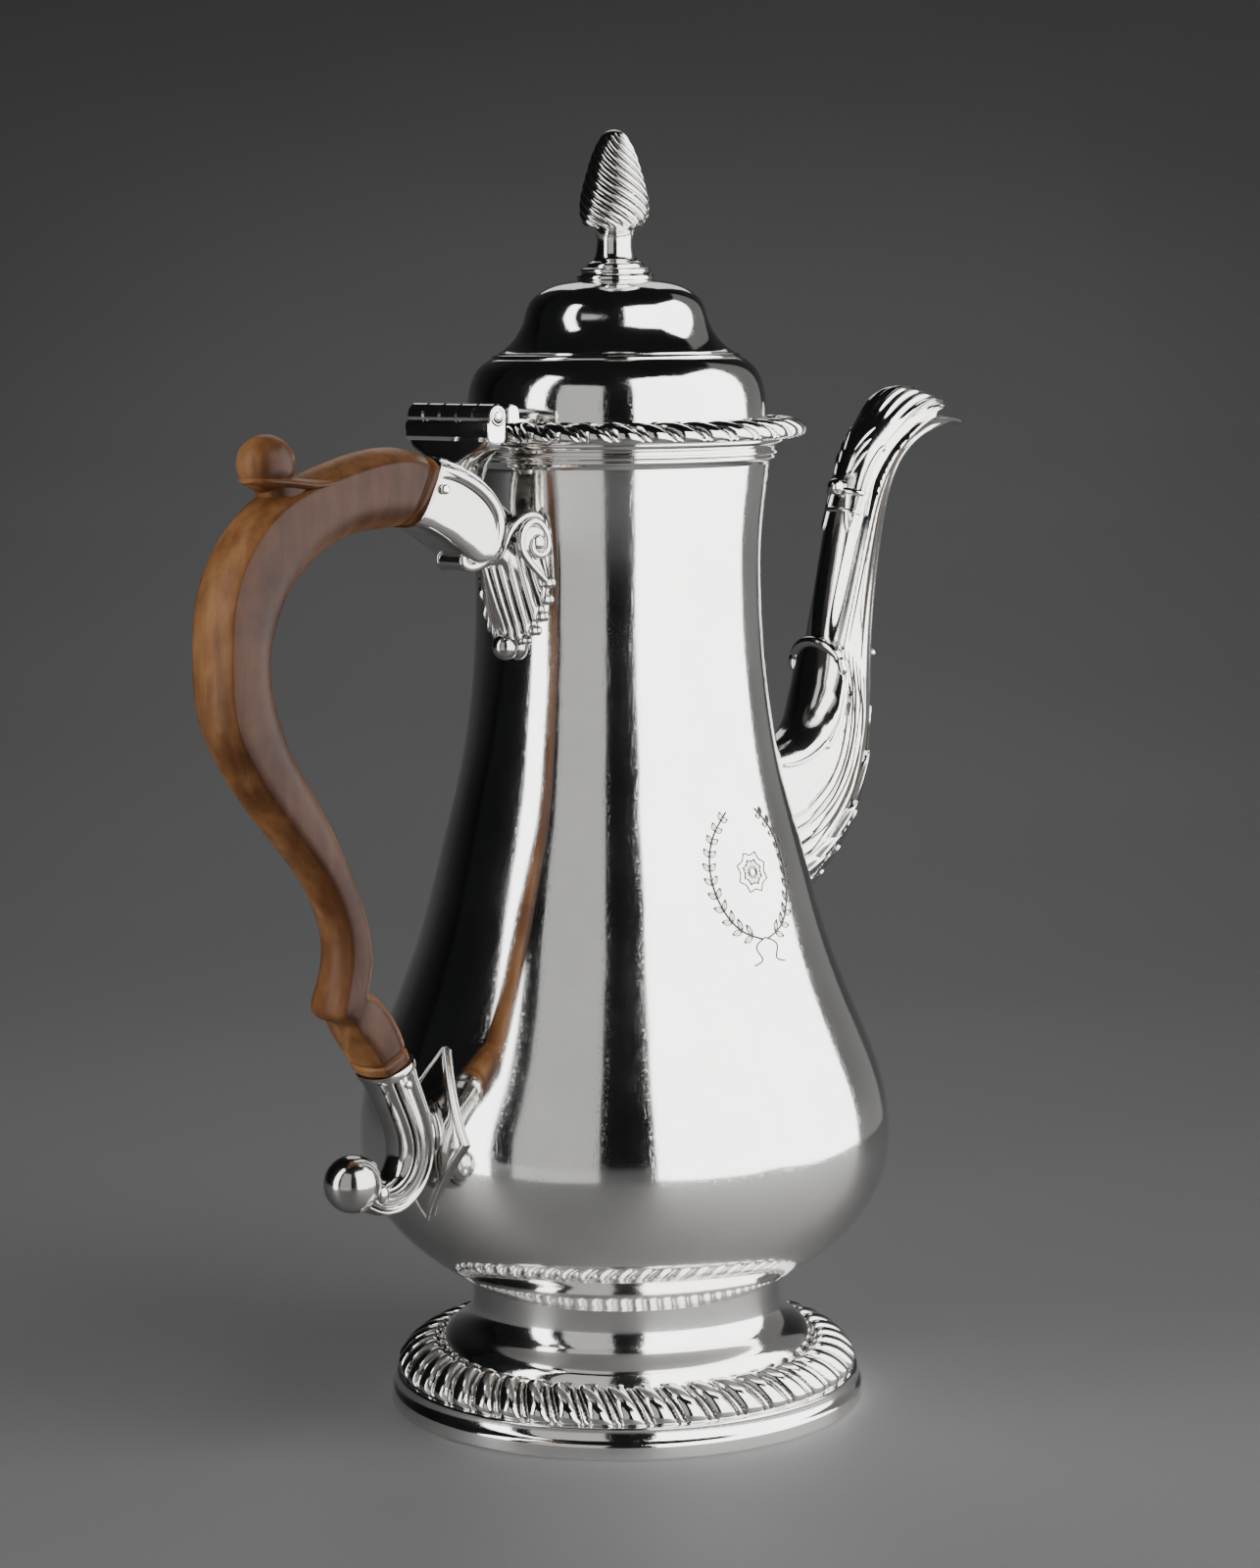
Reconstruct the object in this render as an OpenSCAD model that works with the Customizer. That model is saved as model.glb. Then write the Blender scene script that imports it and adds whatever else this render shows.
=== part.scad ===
// Silver coffee pot: raised baluster body on a pedestal foot, cast spout, hinged domed lid
// with a writhen finial, and a wooden scroll handle held in two cast sockets.
// Millimetres. Origin: centre of the foot's resting face. +X: spout, -X: handle, +Z: up.

/* [Body] */
// Greatest radius of the baluster body
belly_r = 61.1; // [58:0.1:64]
// Radius at the narrowest part of the neck
neck_r = 32.5; // [31.5:0.1:33.5]
// Height of the mouth above the table
mouth_z = 221.5; // [221:0.1:222]
// Thickness of the raised silver walls
wall = 1.0; // [0.8:0.1:1.2]

/* [Foot] */
// Radius of the foot's resting ring
foot_r = 54.7; // [54:0.1:56]
// Height at which the foot meets the body
foot_top_z = 28.6; // [28:0.1:29]

/* [Lid] */
// Outer radius of the gadrooned lid border
border_r = 42.8; // [42:0.1:43.4]
// Radius of the lid's upright wall
dome_r = 33.9; // [33:0.1:34.4]
// Height of the top of the dome
dome_top_z = 257.0; // [256:0.1:258]
// Height of the finial's tip
tip_z = 290.3; // [288:0.1:294]

/* [Hinge] */
// Distance of the hinge line from the pot's axis
hinge_x = 48.3; // [48:0.1:49]
// Height of the hinge line
hinge_z = 227.8; // [227.6:0.1:228]
// Outer radius of the knuckles
knuckle_r = 2.6; // [2.4:0.1:2.7]
// Length of the whole barrel
barrel_l = 27; // [24:0.5:30]
// Number of knuckles, odd, so that the fixed leaf has both ends
knuckles = 5; // [3:2:7]
// Radius of the hinge pin
pin_r = 1.0; // [0.8:0.05:1.2]

/* [Handle] */
// Half the width of the grip at its thickest
grip_half_w = 6.9; // [6:0.1:7.5]
// Radius of the thumb rest
thumb_r = 6.3; // [5.5:0.1:7]
// Radius of the ball that ends the lower scroll
scroll_ball_r = 6.4; // [6:0.1:6.8]

/* [Spout] */
// Thickness of the cast spout wall
spout_wall = 1.1; // [1:0.1:1.3]
// Radius of one strainer hole in the body wall
strainer_r = 1.5; // [1.2:0.1:1.8]

/* [Hidden] */
$fn = 96;
silver = [0.80, 0.80, 0.79];
bright = [0.90, 0.90, 0.89];
wood = [0.55, 0.33, 0.16];
eps = 0.01;

// ---- curves -------------------------------------------------------------

// One span of a Catmull-Rom curve through b and c.
function span(a, b, c, d, t) =
    0.5 * (2 * b + (c - a) * t + (2 * a - 5 * b + 4 * c - d) * t * t + (3 * b - a - 3 * c + d) * t * t * t);

// A smooth curve through every point, with n steps in each span.
function curve(p, n) = concat(
    [for (i = [0 : len(p) - 2]) for (k = [0 : n - 1])
        span(p[max(i - 1, 0)], p[i], p[i + 1], p[min(i + 2, len(p) - 1)], k / n)],
    [p[len(p) - 1]]);

function unit(v) = v / norm(v);
function reversed(p) = [for (i = [len(p) - 1 : -1 : 0]) p[i]];

// The curve moved sideways by d: to the right of its direction when d is positive.
function shifted_both(p, d) = [for (i = [0 : len(p) - 1])
    let (t = unit(p[min(i + 1, len(p) - 1)] - p[max(i - 1, 0)]))
    [p[i][0] + d * t[1], p[i][1] - d * t[0]]];

// The same for a profile of revolution, which never crosses the axis.
function shifted(p, d) = [for (q = shifted_both(p, d)) [max(0, q[0]), q[1]]];

// A closed outline that follows p and comes back t inside it.
function shell_outline(p, t) = concat(p, reversed(shifted(p, -t)));

// ---- lofts --------------------------------------------------------------

// Side faces between two neighbouring rings of m points.
function side_faces(rings, m) = [for (i = [0 : rings - 2]) for (j = [0 : m - 1])
    let (a = i * m + j, b = i * m + (j + 1) % m)
    each [[a, a + m, b], [b, a + m, b + m]]];

// A tube through outer rings and inner rings, open at both ends.
module loft_tube(outer, inner) {
    n = len(outer);
    m = len(outer[0]);
    inside = [for (f = side_faces(n, m)) [f[2] + n * m, f[1] + n * m, f[0] + n * m]];
    first = [for (j = [0 : m - 1]) let (k = (j + 1) % m)
        each [[j, k, n * m + j], [k, n * m + k, n * m + j]]];
    last = [for (j = [0 : m - 1]) let (s = (n - 1) * m, k = (j + 1) % m)
        each [[s + k, s + j, s + n * m + j], [s + k, s + n * m + j, s + n * m + k]]];
    polyhedron(
        points = concat([for (r = outer) each r], [for (r = inner) each r]),
        faces = concat(side_faces(n, m), inside, first, last));
}

// An oval ring between an inner and an outer point of the XZ plane, half_w wide each way in Y.
function oval(top, low, half_w, shrink, m) =
    let (c = (top + low) / 2, u = unit(top - low), h = norm(top - low) / 2 - shrink, w = half_w - shrink)
    [for (j = [0 : m - 1]) let (a = 360 * j / m)
        [c[0] + u[0] * h * cos(a), w * sin(a), c[1] + u[1] * h * cos(a)]];

// A cylinder of the XZ plane from point p along direction dir.
module rod(p, dir, r, l) {
    translate([p[0], 0, p[1]])
        rotate([0, atan2(dir[0], dir[1]), 0])
            cylinder(r = r, h = l, $fn = 48);
}

// A cylinder along Y, centred on the XZ plane.
module cross_pin(p, r, l) {
    translate([p[0], l / 2, p[1]])
        rotate([90, 0, 0])
            cylinder(r = r, h = l);
}

// ---- body ---------------------------------------------------------------

// Radius and height of the outside, from the middle of the base to the mouth.
mouth_r = 34.6;
body_base = [[0, 24.4], [20, 25.0], [34.6, 27.9]];
body_side = [
    [35.6, 28.6], [45.3, 34.8], [54.4, 43.2], [59.6, 52.4], [belly_r, 62], [59.6, 74],
    [54.4, 88.3], [47.4, 106.3], [41.0, 129.5], [36.8, 146.2], [33.8, 165.3],
    [neck_r, 187.6], [33.0, 203], [34.1, 212]
];
body_curve = concat(body_base, curve(body_side, 3), [[mouth_r, 215.2], [mouth_r, mouth_z]]);

// The whole space inside the body's outer surface, grown by d.
module body_solid(d = 0) {
    rotate_extrude()
        polygon(concat(shifted(body_curve, d), [[0, mouth_z + d]]));
}

// Strainer: a hexagonal field of holes behind the spout.
strainer_pitch = 4.4;
strainer_z = 131;
strainer_rows = 2;
strainer_x0 = 30;
strainer_reach = 20;

module strainer_holes() {
    for (row = [-strainer_rows : strainer_rows])
        for (k = [0 : 2 * strainer_rows - abs(row)])
            translate([strainer_x0, (k - (2 * strainer_rows - abs(row)) / 2) * strainer_pitch,
                       strainer_z + row * strainer_pitch * sin(60)])
                rotate([0, 90, 0])
                    cylinder(r = strainer_r, h = strainer_reach, $fn = 24);
}

module body() {
    color(silver)
        difference() {
            rotate_extrude()
                polygon(shell_outline(body_curve, wall));
            strainer_holes();
        }
}

// Moulded wire round the mouth: a fillet, a hollow and two reeds.
module rim_moulding() {
    z = mouth_z;
    color(silver)
        rotate_extrude()
            polygon([
                [mouth_r, z], [37.6, z], [37.7, z - 0.5], [37.3, z - 0.9], [36.3, z - 1.5],
                [35.9, z - 2.2], [36.3, z - 2.5], [36.4, z - 3.0], [36.1, z - 3.5], [35.5, z - 3.8],
                [35.6, z - 4.2], [35.5, z - 4.7], [35.1, z - 5.1], [mouth_r, z - 5.3]
            ]);
}

// ---- foot ---------------------------------------------------------------

foot_rim_h = 7;
// The stretch of the foot that lies under the gadroons.
flange_line = [[43.6, 12.4], [47.2, 11.4], [50.4, 9.2], [51.8, foot_rim_h]];
spool_side = [
    [35.6, foot_top_z], [35.6, 24.5], [36.2, 21.3],
    [38.0, 18.8], [40.6, 17.0], [42.4, 15.0], [42.9, 13.3]
];

module foot_spool() {
    outside = concat(reversed(curve(flange_line, 3)), reversed(curve(spool_side, 3)));
    inside = shifted(outside, -wall);
    top = len(outside) - 1;
    color(silver)
        rotate_extrude()
            polygon(concat(
                [for (p = outside) [p[0], max(p[1], foot_rim_h)]],
                [[34.6, 27.9]],
                reversed([for (i = [0 : top - 1]) [inside[i][0], max(inside[i][1], foot_rim_h)]])));
}

// Cast border laid on the foot's flange. Its lobes are a surface detail of the finished casting.
module foot_gadroon() {
    crown = curve([[52.6, foot_rim_h], [52.7, 9.0], [51.2, 12.0], [48.0, 13.9], [45.0, 13.6], [43.6, 12.4]], 4);
    color(bright)
        rotate_extrude()
            polygon(concat(crown, [for (i = [1 : 9]) curve(flange_line, 3)[i]]));
}

// Solid plinth ring that the pot stands on.
module foot_rim() {
    color(silver)
        rotate_extrude()
            polygon(concat(
                [[50.2, 0], [foot_r, 0]],
                curve([[foot_r, 0.8], [foot_r, 3.2], [54.0, 4.3], [53.3, 5.2], [53.0, 6.2], [52.9, foot_rim_h]], 3),
                [[50.2, foot_rim_h]]));
}

// ---- spout --------------------------------------------------------------

// Sections from inside the body to the mouth: top point, bottom point, half width.
spout_sections = [
    [[33, 146.0], [33, 104.0], [11.5]], [[44, 146.8], [50, 109.0], [11.5]],
    [[51.5, 148.8], [61, 113.5], [11.0]], [[57.0, 153.2], [70, 121.0], [10.0]],
    [[60.6, 159.5], [76.2, 130.5], [9.2]], [[62.3, 167.0], [79.3, 143.0], [8.6]],
    [[63.8, 174.0], [80.2, 157.0], [8.0]], [[65.8, 181.0], [80.8, 170.0], [7.4]],
    [[68.3, 189.5], [82.2, 182.0], [6.9]], [[71.0, 199.0], [84.0, 194.0], [6.4]],
    [[73.8, 208.0], [87.0, 204.0], [6.3]], [[77.5, 216.5], [91.5, 212.0], [6.7]],
    [[83.5, 223.6], [98.0, 217.2], [7.0]], [[91.0, 228.4], [105.0, 219.7], [6.9]],
    [[99.0, 229.6], [111.5, 220.8], [6.2]], [[106.5, 227.6], [118.0, 221.6], [5.2]]
];
spout_steps = 2;
spout_sides = 18;

module spout() {
    tops = curve([for (s = spout_sections) s[0]], spout_steps);
    lows = curve([for (s = spout_sections) s[1]], spout_steps);
    widths = curve([for (s = spout_sections) s[2]], spout_steps);
    outer = [for (i = [0 : len(tops) - 1]) oval(tops[i], lows[i], widths[i][0], 0, spout_sides)];
    inner = [for (i = [0 : len(tops) - 1]) oval(tops[i], lows[i], widths[i][0], spout_wall, spout_sides)];
    color(silver)
        difference() {
            loft_tube(outer, inner);
            body_solid();
        }
}

// ---- handle -------------------------------------------------------------

upper_joint = [-62.5, 212.6];
upper_dir = unit([14, -3]);
lower_joint = [-72.2, 88.4];
lower_dir = unit([3.6, -9.2]);
tenon_r = 4.0;
tenon_l = 10;
tenon_gap = 0.05;
tenon_room = 0.3;
tenon_root = 4;
pin_wire_r = 0.9;
pin_at = 4.6;
pin_hole_l = 30;

grip_outer = [
    [-61.0, 219.6], [-70.0, 220.4], [-78.0, 219.8], [-86.5, 218.2], [-94.0, 215.8], [-100.8, 212.0],
    [-109.2, 204.4], [-115.6, 193.8], [-118.0, 181.0], [-117.0, 166.0], [-112.0, 154.6],
    [-103.2, 143.0], [-94.0, 131.8], [-88.0, 121.6], [-86.8, 113.0], [-88.6, 105.6],
    [-87.6, 100.6], [-83.0, 96.4], [-79.6, 91.2], [-76.8, 86.6]
];
grip_inner = [
    [-64.0, 205.6], [-71.5, 204.5], [-77.5, 204.0], [-82.5, 203.0], [-87.7, 201.0], [-93.1, 197.8],
    [-97.9, 193.4], [-102.2, 187.0], [-104.9, 178.0], [-103.5, 168.6], [-99.6, 159.4],
    [-92.0, 148.4], [-84.3, 135.2], [-79.2, 121.4], [-78.2, 112.6], [-78.6, 107.4],
    [-76.0, 104.4], [-72.4, 100.0], [-69.6, 95.2], [-67.6, 90.2]
];
grip_steps = 3;
thumb_at = [-100.9, 218.9];

// Draws an outline of the XZ plane as a slab, half_w each way in Y.
module slab(half_w) {
    translate([0, half_w, 0])
        rotate([90, 0, 0])
            linear_extrude(height = 2 * half_w)
                children();
}

module handle_grip() {
    top_z = 230;
    low_z = 80;
    taper = 1.4;
    color(wood)
        difference() {
            union() {
                intersection() {
                    slab(grip_half_w)
                        polygon(concat(curve(grip_outer, grip_steps), reversed(curve(grip_inner, grip_steps))));
                    rotate([90, 0, -90])
                        linear_extrude(height = 130)
                            polygon([
                                [grip_half_w, top_z], [grip_half_w, 180], [grip_half_w - taper, 120],
                                [grip_half_w - taper, low_z], [taper - grip_half_w, low_z],
                                [taper - grip_half_w, 120], [-grip_half_w, 180], [-grip_half_w, top_z]
                            ]);
                }
                translate([thumb_at[0], 0, thumb_at[1]])
                    sphere(r = thumb_r);
                rod(upper_joint - tenon_root * upper_dir, upper_dir, tenon_r, tenon_l + tenon_root);
                rod(lower_joint - tenon_root * lower_dir, lower_dir, tenon_r, tenon_l + tenon_root);
            }
            cross_pin(upper_joint + pin_at * upper_dir, pin_wire_r, pin_hole_l);
            cross_pin(lower_joint + pin_at * lower_dir, pin_wire_r, pin_hole_l);
        }
}

// A solid of revolution along dir from p: profile points are [radius, distance].
module turned(p, dir, profile) {
    translate([p[0], 0, p[1]])
        rotate([0, atan2(dir[0], dir[1]), 0])
            rotate_extrude()
                polygon(concat([[0, profile[0][1]]], profile, [[0, profile[len(profile) - 1][1]]]));
}

// The hole for a tenon, with room for it all round and at its end.
module tenon_hole(p, dir) {
    rod(p - tenon_root * dir, dir, tenon_r + tenon_gap, tenon_l + tenon_root + tenon_room);
}

socket_l = 15.8;
socket_profile = [
    [6.7, 0], [6.9, 1.0], [6.3, 2.0], [6.4, 4.5], [7.2, 8.2], [8.4, 11.4], [9.4, 13.8], [9.6, socket_l]
];

// Flared seat that carries the hinge, cast with the socket.
module hinge_seat() {
    intersection() {
        slab(barrel_l / 2)
            polygon([
                [leaf_x1, leaf_bottom], [leaf_x0, leaf_bottom], [leaf_x0 - 3.2, 217.6],
                [-55.8, 214.0], [-48.6, 212.0], [-47.4, 216.0]
            ]);
        translate([-40, 0, 0])
            rotate([90, 0, -90])
                linear_extrude(height = 20)
                    polygon(concat(
                        [[barrel_l / 2, leaf_bottom], [barrel_l / 2, leaf_bottom - 1.2]],
                        [[9, leaf_bottom - 3], [6, leaf_bottom - 6], [6, 208], [-6, 208], [-6, leaf_bottom - 6]],
                        [[-9, leaf_bottom - 3], [-barrel_l / 2, leaf_bottom - 1.2], [-barrel_l / 2, leaf_bottom]]));
    }
}

module upper_socket() {
    color(silver)
        difference() {
            union() {
                turned(upper_joint, upper_dir, socket_profile);
                hinge_seat();
            }
            tenon_hole(upper_joint, upper_dir);
            cross_pin(upper_joint + pin_at * upper_dir, pin_wire_r, pin_hole_l);
        }
}

// Shell-shaped bracket between the socket's collar and the body, with a bead below it.
socket_end = upper_joint + socket_l * upper_dir;
end_up = [-upper_dir[1], upper_dir[0]];
shell_front = [
    [0, 176], [3, 177.5], [10, 183], [10.6, 188.5], [8.6, 193], [9.6, 198.5], [8.4, 204],
    [8.0, 217.5], [0, 218]
];

module shell_drop() {
    top = socket_end + 8.2 * end_up;
    low = socket_end - 9.4 * end_up;
    color(bright)
        difference() {
            union() {
                intersection() {
                    slab(12)
                        polygon(concat(
                            [low, top, [-41, 213.6], [-37, 212.6], [-30, 212.6], [-30, 180]],
                            curve([[-36, 181], [-37.4, 184.5], [-38.6, 189], [-41.4, 194], [-45.4, 198.4]], 3)));
                    translate([-20, 0, 0])
                        rotate([90, 0, -90])
                            linear_extrude(height = 40)
                                polygon(concat(
                                    curve(shell_front, 3),
                                    reversed([for (q = curve(shell_front, 3)) [-q[0], q[1]]])));
                }
                translate([-35.2, 0, 180.4])
                    sphere(r = 3.0);
            }
            body_solid();
        }
}

module upper_socket_pin() {
    color(bright)
        cross_pin(upper_joint + pin_at * upper_dir, pin_wire_r, 13.6);
}

// Lower scroll, from the grip round under itself to the ball: centre line and half thickness.
scroll_line = [
    [-71.7, 87.1], [-69.6, 82.2], [-66.9, 76.0], [-65.4, 69.6],
    [-66.6, 63.8], [-70.4, 59.8], [-75.6, 58.8], [-80.2, 61.0]
];
scroll_half_t = 4.3;
scroll_half_w = 5.4;
scroll_ball = [-81.7, 63.2];
lower_cup_r = 6.2;
plate_t = 1.0;

module lower_socket() {
    line = curve(scroll_line, 4);
    color(silver)
        difference() {
            union() {
                slab(scroll_half_w)
                    polygon(concat(shifted_both(line, scroll_half_t), reversed(shifted_both(line, -scroll_half_t))));
                rod(lower_joint, lower_dir, lower_cup_r, tenon_l + 1);
                translate([scroll_ball[0], 0, scroll_ball[1]])
                    sphere(r = scroll_ball_r);
            }
            tenon_hole(lower_joint, lower_dir);
            cross_pin(lower_joint + pin_at * lower_dir, pin_wire_r, pin_hole_l);
            body_solid(plate_t);
        }
}

module lower_socket_pin() {
    color(bright)
        cross_pin(lower_joint + pin_at * lower_dir, pin_wire_r, 2 * lower_cup_r + 0.2);
}

// Lozenge soldered to the body behind the lower scroll.
module handle_plate() {
    color(silver)
        intersection() {
            difference() {
                body_solid(plate_t);
                body_solid();
            }
            translate([-40, 0, 0])
                rotate([90, 0, -90])
                    linear_extrude(height = 30)
                        polygon([[0, 51.4], [12.3, 70], [0, 89.5], [-12.3, 70]]);
        }
}

// ---- hinge --------------------------------------------------------------

knuckle_gap = 0.15;
knuckle_l = (barrel_l - (knuckles - 1) * knuckle_gap) / knuckles;
leaf_top = hinge_z - knuckle_r - 0.3;
leaf_bottom = 220.2;
leaf_x0 = -hinge_x - 2.4;
leaf_x1 = -hinge_x + 2.1;
web_back = 1.9;
web_w = 3.4;

function knuckle_y(i) = -barrel_l / 2 + i * (knuckle_l + knuckle_gap);

// One knuckle round the hinge line, starting at y.
module knuckle(y) {
    translate([-hinge_x, y + knuckle_l, hinge_z])
        rotate([90, 0, 0])
            cylinder(r = knuckle_r, h = knuckle_l);
}

module hinge_bore(r) {
    cross_pin([-hinge_x, hinge_z], r, barrel_l + 2);
}

module hinge_fixed_leaf() {
    color(bright)
        difference() {
            union() {
                translate([leaf_x0, -barrel_l / 2, leaf_bottom])
                    cube([leaf_x1 - leaf_x0, barrel_l, leaf_top - leaf_bottom]);
                for (i = [0 : 2 : knuckles - 1]) {
                    knuckle(knuckle_y(i));
                    translate([-hinge_x - web_back, knuckle_y(i), leaf_top - eps])
                        cube([web_w, knuckle_l, hinge_z - leaf_top]);
                }
            }
            hinge_bore(pin_r);
        }
}

lid_leaf_z0 = 226.0;
lid_leaf_x = -hinge_x + knuckle_r + 0.3;
lid_leaf_t = 3.2;
lid_leaf_h = 3.9;
flap_l = 6.2;
flap_t = 0.9;
flap_inset = 2;

module hinge_lid_leaf() {
    color(bright)
        difference() {
            union() {
                translate([lid_leaf_x, -barrel_l / 2, lid_leaf_z0])
                    cube([lid_leaf_t, barrel_l, lid_leaf_h]);
                translate([lid_leaf_x + lid_leaf_t - 0.2, flap_inset - barrel_l / 2, lid_leaf_z0])
                    cube([flap_l, barrel_l - 2 * flap_inset, flap_t]);
                for (i = [1 : 2 : knuckles - 1]) {
                    knuckle(knuckle_y(i));
                    translate([-hinge_x, knuckle_y(i), lid_leaf_z0 + 0.2])
                        cube([lid_leaf_x + hinge_x + 0.5, knuckle_l, lid_leaf_h - 0.3]);
                }
            }
            hinge_bore(pin_r + 0.05);
        }
}

pin_head_r = 1.5;
pin_head_h = 0.6;

module hinge_pin() {
    color(silver)
        union() {
            cross_pin([-hinge_x, hinge_z], pin_r, barrel_l + 0.8);
            for (y = [-barrel_l / 2, barrel_l / 2 + pin_head_h])
                translate([-hinge_x, y, hinge_z])
                    rotate([90, 0, 0])
                        cylinder(r = pin_head_r, h = pin_head_h);
        }
}

// ---- lid ----------------------------------------------------------------

flange_t = 1.0;
flange_z = mouth_z + flange_t;
gadroon_w = 1.6;
bezel_r = 31.7;
bezel_inside_r = 30.8;
bezel_h = 6.5;
dome_side = [
    [dome_r, flange_z], [dome_r, 227.5], [33.6, 231.0], [32.8, 234.4], [30.7, 237.8], [27.8, 239.8],
    [25.0, 241.7], [22.8, 244.0], [21.3, 246.6], [20.3, 249.8], [18.2, 253.2], [14.6, 255.5], [9.0, 256.7]
];
stud_r = 1.25;
stud_gap = 0.05;

// Two-stage dome, with a fine chased line at the step.
module lid_dome() {
    side = concat(curve(dome_side, 3), [[0, dome_top_z]]);
    color(silver)
        difference() {
            rotate_extrude()
                polygon(shell_outline(side, wall));
            translate([0, 0, dome_top_z - 4])
                cylinder(r = stud_r + stud_gap, h = 6);
        }
}

module lid_flange() {
    color(silver)
        translate([0, 0, mouth_z])
            difference() {
                cylinder(r = border_r - gadroon_w, h = flange_t);
                translate([0, 0, -1])
                    cylinder(r = bezel_inside_r, h = flange_t + 2);
            }
}

module lid_gadroon() {
    z = mouth_z;
    r = border_r;
    inner = r - gadroon_w;
    crown = curve([[r - 0.5, z], [r, z + 1.1], [r - 0.3, z + 2.6], [r - 1.3, z + 3.8], [r - 3.2, z + 4.5]], 3);
    color(bright)
        rotate_extrude()
            polygon(concat(
                [[inner, z]], crown,
                [[35.6, z + 4.5], [34.6, z + 4.0], [34.6, flange_z], [inner, flange_z]]));
}

// Upright ring inside the mouth, which keeps the closed lid central.
module lid_bezel() {
    color(silver)
        translate([0, 0, mouth_z - bezel_h])
            difference() {
                cylinder(r = bezel_r, h = bezel_h);
                translate([0, 0, -1])
                    cylinder(r = bezel_inside_r, h = bezel_h + 2);
            }
}

// ---- finial -------------------------------------------------------------

collar_h = 2.6;
collar_r = 8.7;
flame_side = [
    [6.2, 259.6], [4.4, 261.2], [3.7, 263.8], [3.8, 266.2], [5.2, 267.9], [7.0, 269.3], [7.9, 271.6],
    [7.9, 274.2], [7.2, 277.8], [6.0, 281.5], [4.9, 284.9], [3.4, 288.0], [1.7, 289.8], [0, tip_z]
];

module finial_collar() {
    z = dome_top_z;
    color(silver)
        rotate_extrude()
            polygon([
                [stud_r + stud_gap, z], [7.6, z - 0.1], [collar_r - 0.2, z], [collar_r, z + 0.5],
                [collar_r - 0.2, z + 1.0], [7.4, z + 1.2], [7.8, z + 1.6], [7.8, z + 2.1],
                [7.5, z + collar_h], [stud_r + stud_gap, z + collar_h]
            ]);
}

stud_bottom = dome_top_z - 6.4;
stud_top = dome_top_z + collar_h + 6;

module finial() {
    color(bright)
        difference() {
            rotate_extrude()
                polygon(concat([[0, dome_top_z + collar_h]], curve(flame_side, 3)));
            translate([0, 0, stud_bottom])
                cylinder(r = stud_r, h = stud_top - stud_bottom);
        }
}

module finial_stud() {
    color(silver)
        translate([0, 0, stud_bottom])
            cylinder(r = stud_r, h = stud_top - stud_bottom);
}

washer_r = 4.5;
washer_t = 0.8;
washer_top = dome_top_z - 1.5;

module finial_washer() {
    color(silver)
        translate([0, 0, washer_top - washer_t])
            difference() {
                cylinder(r = washer_r, h = washer_t);
                translate([0, 0, -1])
                    cylinder(r = stud_r + stud_gap, h = washer_t + 2);
            }
}

nut_w = 5.5;
nut_t = 2.2;

module finial_nut() {
    color(silver)
        translate([0, 0, washer_top - washer_t - nut_t])
            difference() {
                translate([-nut_w / 2, -nut_w / 2, 0])
                    cube([nut_w, nut_w, nut_t]);
                translate([0, 0, -1])
                    cylinder(r = stud_r, h = nut_t + 2);
            }
}

// ---- parts --------------------------------------------------------------

body();
rim_moulding();
foot_spool();
foot_gadroon();
foot_rim();
spout();
upper_socket();
shell_drop();
upper_socket_pin();
handle_grip();
lower_socket();
lower_socket_pin();
handle_plate();
hinge_fixed_leaf();
hinge_pin();
hinge_lid_leaf();
lid_dome();
lid_flange();
lid_gadroon();
lid_bezel();
finial_collar();
finial();
finial_stud();
finial_washer();
finial_nut();
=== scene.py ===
"""Silver coffee pot with a fruitwood handle: the looks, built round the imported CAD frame.

Lengths in this file are millimetres; make() turns them into metres. +X is the spout's side,
-X the handle's side, +Z is up, and the XZ plane is the pot's plane of symmetry.
"""
import math

import bmesh
import bpy
import numpy as np
from mathutils import Matrix, Vector, noise


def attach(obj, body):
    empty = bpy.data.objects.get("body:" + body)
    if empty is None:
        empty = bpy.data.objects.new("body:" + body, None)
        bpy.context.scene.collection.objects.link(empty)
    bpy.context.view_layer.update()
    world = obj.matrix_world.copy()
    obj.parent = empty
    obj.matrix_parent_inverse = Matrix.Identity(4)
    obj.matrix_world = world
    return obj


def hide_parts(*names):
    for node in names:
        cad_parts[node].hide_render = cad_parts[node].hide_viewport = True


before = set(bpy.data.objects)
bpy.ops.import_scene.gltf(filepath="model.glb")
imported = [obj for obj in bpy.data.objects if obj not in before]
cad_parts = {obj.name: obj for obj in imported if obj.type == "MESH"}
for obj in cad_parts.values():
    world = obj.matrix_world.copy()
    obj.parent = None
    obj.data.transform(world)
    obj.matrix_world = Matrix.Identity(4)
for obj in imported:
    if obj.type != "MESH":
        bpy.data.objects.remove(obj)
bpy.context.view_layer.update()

MM = 0.001
TAU = 2 * math.pi
# Metres: points this close are one point, and edges this short are dropped.
SAME_POINT = 1e-6
NO_LENGTH = 1e-7


# ---- curves and meshes ------------------------------------------------------

def spline(points, count):
    """Samples of the natural cubic spline through the points, evenly spaced along its chords."""
    p = np.array(points, float)
    n = len(p)
    t = np.concatenate([[0], np.cumsum(np.linalg.norm(np.diff(p, axis=0), axis=1))])
    h = np.diff(t)
    left = np.eye(n)
    right = np.zeros_like(p)
    for i in range(1, n - 1):
        left[i, i - 1:i + 2] = h[i - 1], 2 * (h[i - 1] + h[i]), h[i]
        right[i] = 6 * ((p[i + 1] - p[i]) / h[i] - (p[i] - p[i - 1]) / h[i - 1])
    bend = np.linalg.solve(left, right)
    x = np.linspace(0, t[-1], count)
    i = np.clip(np.searchsorted(t, x, side="right") - 1, 0, n - 2)
    a = ((t[i + 1] - x) / h[i])[:, None]
    b = 1 - a
    w = (h[i] ** 2)[:, None] / 6
    return a * p[i] + b * p[i + 1] + ((a ** 3 - a) * bend[i] + (b ** 3 - b) * bend[i + 1]) * w


def unit(v):
    """Vectors scaled to length 1."""
    v = np.asarray(v, float)
    return v / np.maximum(np.linalg.norm(v, axis=-1, keepdims=True), 1e-12)


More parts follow.
